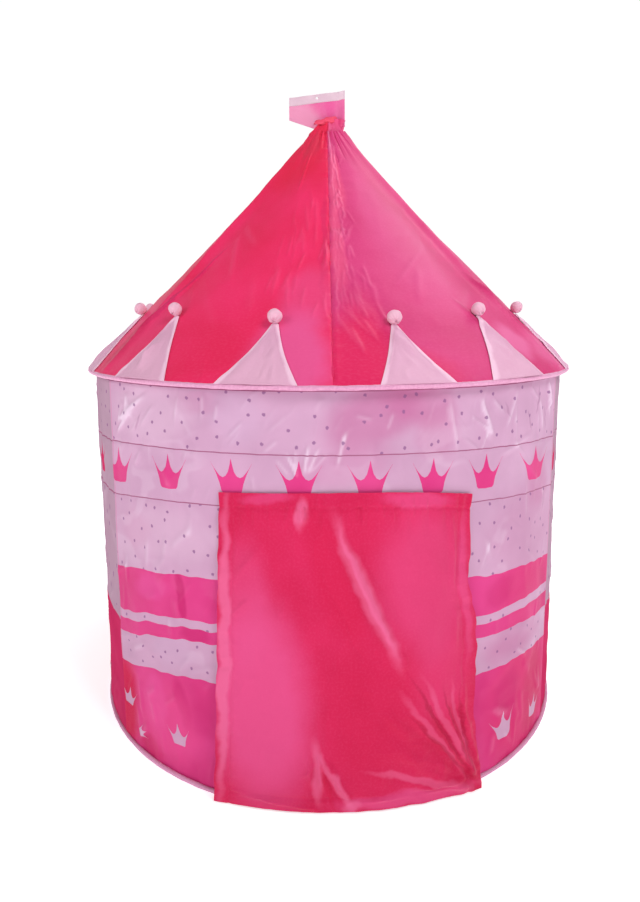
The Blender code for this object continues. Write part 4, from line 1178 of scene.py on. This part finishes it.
def knot_points(turn, bend):
    """The wrap: a flattened roll carried round the neck on a tilted oval, twisted by its folds."""
    middle_x = -0.004 + 0.0225 * np.sin(turn)
    middle_y = -0.0200 * np.cos(turn)
    middle_z = 1.2440 + 0.0035 * np.sin(turn) - 0.0045 * np.cos(turn) + 0.0012 * noise(turn * 2.2, 0.0, 153)
    thick = 0.0043 * (1 - 0.70 * bell(turn - 4.71, 0.34) + 0.22 * np.sin(turn * 2 + 0.6))
    thick = thick * (1 + 0.16 * np.cos(3 * bend + 4 * turn) + 0.12 * noise(turn * 5, bend * 2, 151))
    out = thick * np.cos(bend) * 0.75
    lift = thick * np.sin(bend) * 1.15
    return np.stack((middle_x + out * np.sin(turn), middle_y - out * np.cos(turn), middle_z + lift), -1)


def tab_points(across, up):
    """The tab: ruled between its foot line and its top line, curled forwards at its right edge."""
    low_x = np.interp(across, (0, 0.3, 1), (TAB_LEFT, -0.028, TAB_RIGHT))
    low_z = TAB_FOOT + np.interp(across, (0, 0.3, 1), (0.0150, 0.0008, 0.0008))
    x = low_x + (TAB_LEFT + TAB_WIDE * across - low_x) * up
    z = low_z + (TAB_FOOT + 0.042 + TAB_RISE * across - low_z) * up
    y = 0.0045 * np.sin(5 * across + 1.2 * up) * (0.3 + 0.7 * (1 - up)) - 0.0060 * smooth(0.86, 1.0, across)
    y = y + 0.0012 * noise(across * 8, up * 3, 161) + 0.0010 * crumple(across * 3, up * 2, 163, 2)
    return np.stack((x, y, z), -1)


def strip_points(turn, out):
    """The strip: straight lines from its round hole out to its slanted outline."""
    x_in, z_in = HOLE_X + HOLE * np.cos(turn), HOLE_Z + HOLE * np.sin(turn)
    reach_x = np.where(np.cos(turn) > 0, TAB_RIGHT - HOLE_X, HOLE_X - TAB_LEFT)
    x_out = HOLE_X + reach_x * np.clip(np.cos(turn) * 1.5, -1, 1)
    edge = 0.0423 + TAB_RISE * (x_out - TAB_LEFT) / TAB_WIDE
    z_out = edge + 0.008 * (1 + np.clip(np.sin(turn) * 1.5, -1, 1))
    return x_in + (x_out - x_in) * out, TAB_FOOT + z_in + (z_out - z_in) * out


gather_grid = gather_points(*grid(whole_turn(96), np.linspace(0, 1, 40)))
gather_uv = face_uv(97, 40, (0.2, 0.05))
gather = make_piece("roof_gather_folds", gather_grid, grid_quads(96, 40, True), gather_uv, neck_satin)
knot_grid = knot_points(*grid(whole_turn(120), whole_turn(30)))
knot = make_ring("roof_knot_wrap", knot_grid, knot_satin, (0.15, 0.04))
for piece in (clean_up(gather), knot):
    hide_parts("roof_gather")
    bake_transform(piece)

across, up = grid(np.linspace(0, 1, 80), np.linspace(0, 1, 40))
tab_grid = tab_points(across, up)
tab = make_sheet("tab_cloth", tab_grid, np.stack((across * TAB_WIDE, up * 0.05), -1), tab_satin, STIFF_CLOTH)
settle(tab, "tab", "hot_pink_satin", "hanging_tab")
lay_out(tab, tab_grid, (0.120, 0.058), "hung", "roof_knot_wrap")

strip_x, strip_z = strip_points(*grid(whole_turn(128), np.linspace(0, 1, 12)))
curl = tab_points((strip_x - TAB_LEFT) / TAB_WIDE, np.ones_like(strip_x))[..., 1]
front_face = np.stack((strip_x, curl - 0.0012, strip_z), -1)
back_face = np.stack((strip_x, curl + 0.0002, strip_z), -1)
loop = np.concatenate((front_face, back_face[:, ::-1]), axis=1)
strip = make_ring("tab_milky_strip", loop, milky, (0.25, 0.05), sharp=40)
settle(clean_up(strip), "tab", "milky_strip", "tab_strip")

# %% [markdown]
# ## Poles and fittings
# Inside, four white tubes stand against the wall and four run up under the roof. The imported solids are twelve
# sided, so smooth tubes are turned about the same axes, which are read from the solids.

# %% Poles
TUBE = 0.0055
TUBE_BORE = 0.0042
MOUTH = 0.0004


def axis_of(node):
    """The two ends of a long solid's axis: its middle, and its longest direction by singular values."""
    places = np.array([v.co for v in nodes[node].data.vertices], float)
    middle = (places.max(0) + places.min(0)) / 2
    spread = places - places.mean(0)
    direction = np.linalg.svd(spread, full_matrices=False)[2][0]
    direction = direction if direction[2] > 0 else -direction
    along = (places - middle) @ direction
    return middle + direction * along.min(), middle + direction * along.max()


def turned(start, end, profile):
    """A profile of (radius, distance d) carried round an axis: start + d + radius (u cos t + w sin t)."""
    direction = (end - start) / np.linalg.norm(end - start)
    helper = np.array((0.0, 0.0, 1.0)) if abs(direction[2]) < 0.9 else np.array((1.0, 0.0, 0.0))
    u = np.cross(helper, direction)
    u = u / np.linalg.norm(u)
    w = np.cross(direction, u)
    turn = whole_turn(48)[:, None, None]
    radius, distance = np.array(profile, float).T[:, None, :, None]
    return start + direction * distance + radius * (u * np.cos(turn) + w * np.sin(turn))


wall_axes = {}
for corner in CORNERS:
    for kind in ("wall_pole", "roof_pole"):
        foot, top = axis_of(f"{kind}_{corner}")
        if kind == "wall_pole":
            wall_axes[corner] = (foot, top)
        length = float(np.linalg.norm(top - foot))
        profile = [(TUBE_BORE, MOUTH), (TUBE_BORE + MOUTH, 0), (TUBE - MOUTH, 0), (TUBE, MOUTH)]
        profile += [(radius, length - distance) for radius, distance in profile[::-1]]
        tube = make_ring(f"{kind}_{corner}_tube", turned(foot, top, profile), tube_white, (0.03, length))
        settle(clean_up(tube), "tent", "white_tube", f"{kind}_{corner}")
print("pole length", round(length, 3))

# %% [markdown]
# Each pole stands in a small cloth pocket at the floor, with a stitched hem at its mouth, and a strap holds
# it to the wall half way up. Both are the same pale tape as the bindings.

# %% Pockets and ties
POCKET_TALL = 0.040
POCKET_OUTER = 0.0096
TIE_TALL = 0.030
STRAP = 0.0009
STRAP_LOOP = 0.0066
ROUND_PART = 0.55


def pocket_profile(turn, along):
    """Half the pocket's section: a rounded floor, then a wall with a hem and a rippled mouth."""
    bowl = np.clip(along / 0.06, 0, 1)
    bowl = np.sqrt(bowl * (2 - bowl))
    ripple = 0.0003 * noise(turn * 3, along * 6, 171) * smooth(0.3, 1.0, along)
    radius = POCKET_OUTER * bowl + 0.0004 * bell(along - 0.90, 0.06) + ripple * bowl
    return radius, POCKET_TALL * np.clip(along - 0.03, 0, 1) / 0.97


def strap_path(path, reach, seed):
    """The strap from above: out from the wall on one side, half round the pole, and back on the other."""
    loop = STRAP_LOOP + 0.0003 * noise(path * 4, 0.0, seed)
    beside = np.abs(path)
    angle = pi / 2 + (1 - np.clip(beside / ROUND_PART, 0, 1)) * pi / 2
    straight = (beside - ROUND_PART) / (1 - ROUND_PART) * (reach - 0.0012)
    out = np.where(beside < ROUND_PART, loop * np.cos(angle), straight)
    return out, np.sign(path) * np.where(beside < ROUND_PART, loop * np.sin(angle), loop)


for number, (corner, angle) in enumerate(CORNERS.items()):
    foot, top = wall_axes[corner]
    direction = (top - foot) / np.linalg.norm(top - foot)
    outward = np.array((sin(angle), -cos(angle), 0.0))
    tangent = np.array((cos(angle), sin(angle), 0.0))
    straight = np.cross(tangent, direction)
    rests_on = f"wall_pole_{corner}_tube"
    low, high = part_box(f"pole_pocket_{corner}")
    turn, along = grid(whole_turn(48), np.linspace(0.001, 1, 40))
    radius, rise = pocket_profile(turn, along)
    start = foot - direction * (foot[2] - low[2] - 0.0004) / direction[2]
    round_pole = tangent * np.cos(turn)[..., None] - straight * np.sin(turn)[..., None]
    shape = start + direction * rise[..., None] + round_pole * radius[..., None]
    uv = np.stack((turn * 0.009, along * 0.04), -1)
    pocket = make_sheet(f"pole_pocket_{corner}_cloth", shape, uv, binding, wrap=True)
    settle(clean_up(pocket), "tent", "binding_tape", f"pole_pocket_{corner}")
    lay_out(pocket, shape, (0.062, 0.048), "folded", rests_on)
    low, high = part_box(f"pole_tie_{corner}")
    middle = foot + direction * ((low[2] + high[2]) / 2 - foot[2]) / direction[2]
    reach = float(wall_radius(middle[2]) - np.hypot(middle[0], middle[1]))
    path, rise = grid(np.linspace(-1, 1, 81), np.linspace(-0.5, 0.5, 17) * TIE_TALL)
    out, beside = strap_path(path, reach, 181 + number)
    shape = middle + outward * out[..., None] + tangent * beside[..., None] + direction * rise[..., None]
    uv = np.stack((0.03 * path, rise), -1)
    strap = make_sheet(f"pole_tie_{corner}_strap", shape, uv, binding, STRAP)
    settle(strap, "tent", "binding_tape", f"pole_tie_{corner}")
    lay_out(strap, shape, (0.060, 0.030), "folded", rests_on)

# %% [markdown]
# ## Light, floor and camera
# The real picture is high key: a white floor and a white wall behind the tent, a softbox overhead, a key from
# the upper right and a weaker fill from the left. The camera stands 1.48 m from the tent's middle and 0.85 m
# high, with a 25.6 mm lens.

# %% Stage
def make_stage():
    """A white floor that runs far behind the tent, and glows more the further it is from it."""
    mesh = bpy.data.meshes.new("floor")
    mesh.from_pydata([(-30, -30, 0), (30, -30, 0), (30, 30, 0), (-30, 30, 0)], [], [(0, 1, 2, 3)])
    white, tree, shader = new_finish(
        "white floor", Roughness=0.9, Base_Color=colour("#FAFAFA"), Emission_Color=colour("#FFFFFF"),
    )
    place = add_node(tree, "TexCoord").outputs["Object"]
    far = add_node(tree, "VectorMath", [place], "LENGTH").outputs["Value"]
    glow = add_node(tree, "MapRange", [far, 0.6, 1.6, 0.52, 1.0])
    tree.links.new(glow.outputs[0], shader.inputs["Emission Strength"])
    mesh.materials.append(white)
    floor = bpy.data.objects.new("floor", mesh)
    bpy.context.scene.collection.objects.link(floor)


def add_softbox(name, place, target, size, watts):
    """A square white area light at a place, turned towards a target."""
    light = bpy.data.lights.new(name, "AREA")
    light.shape = "SQUARE"
    light.size = size
    light.energy = watts
    lamp = bpy.data.objects.new(name, light)
    lamp.location = place
    lamp.rotation_euler = (Vector(target) - Vector(place)).to_track_quat("-Z", "Y").to_euler()
    bpy.context.scene.collection.objects.link(lamp)


def aim_camera(place, yaw, pitch, roll, focal):
    """A camera at a place, heading from +Y towards +X by yaw, looking down by pitch, and rolled."""
    forward = Vector((sin(yaw) * cos(pitch), cos(yaw) * cos(pitch), -sin(pitch)))
    right = Vector((cos(yaw), -sin(yaw), 0.0))
    up = right.cross(forward)
    side = right * cos(roll) + up * sin(roll)
    top = up * cos(roll) - right * sin(roll)
    camera = bpy.data.objects.new("camera", bpy.data.cameras.new("camera"))
    camera.data.lens = focal
    camera.data.sensor_width = 36.0
    camera.matrix_world = Matrix.Translation(place) @ Matrix((side, top, -forward)).transposed().to_4x4()
    bpy.context.scene.collection.objects.link(camera)
    bpy.context.scene.camera = camera


make_stage()
add_softbox("overhead softbox", (1.3, 0.7, 2.7), (0, 0, 0.9), 1.2, 25)
add_softbox("key softbox", (1.1, -1.9, 2.5), (0, 0, 0.7), 0.8, 30)
add_softbox("fill softbox", (-1.9, -1.6, 1.9), (0, 0, 0.7), 1.2, 18)
world = bpy.data.worlds.new("studio")
bpy.context.scene.world = world
world.use_nodes = True
sweep, background = world.node_tree, world.node_tree.nodes["Background"]
direction = add_node(sweep, "TexCoord").outputs["Generated"]
behind = add_node(sweep, "SeparateXYZ", [direction]).outputs[1]
bright = add_node(sweep, "MapRange", [behind, 0.70, 0.80, 0.32, 1.02])
sweep.links.new(bright.outputs[0], background.inputs["Strength"])
background.inputs["Color"].default_value = (1.0, 1.0, 1.0, 1.0)
bpy.context.scene.view_settings.view_transform = "Standard"
aim_camera(Vector((-0.0943, -1.4739, 0.8452)), 0.05186, 0.211643, -0.003988, 25.557)
print("stage ready")
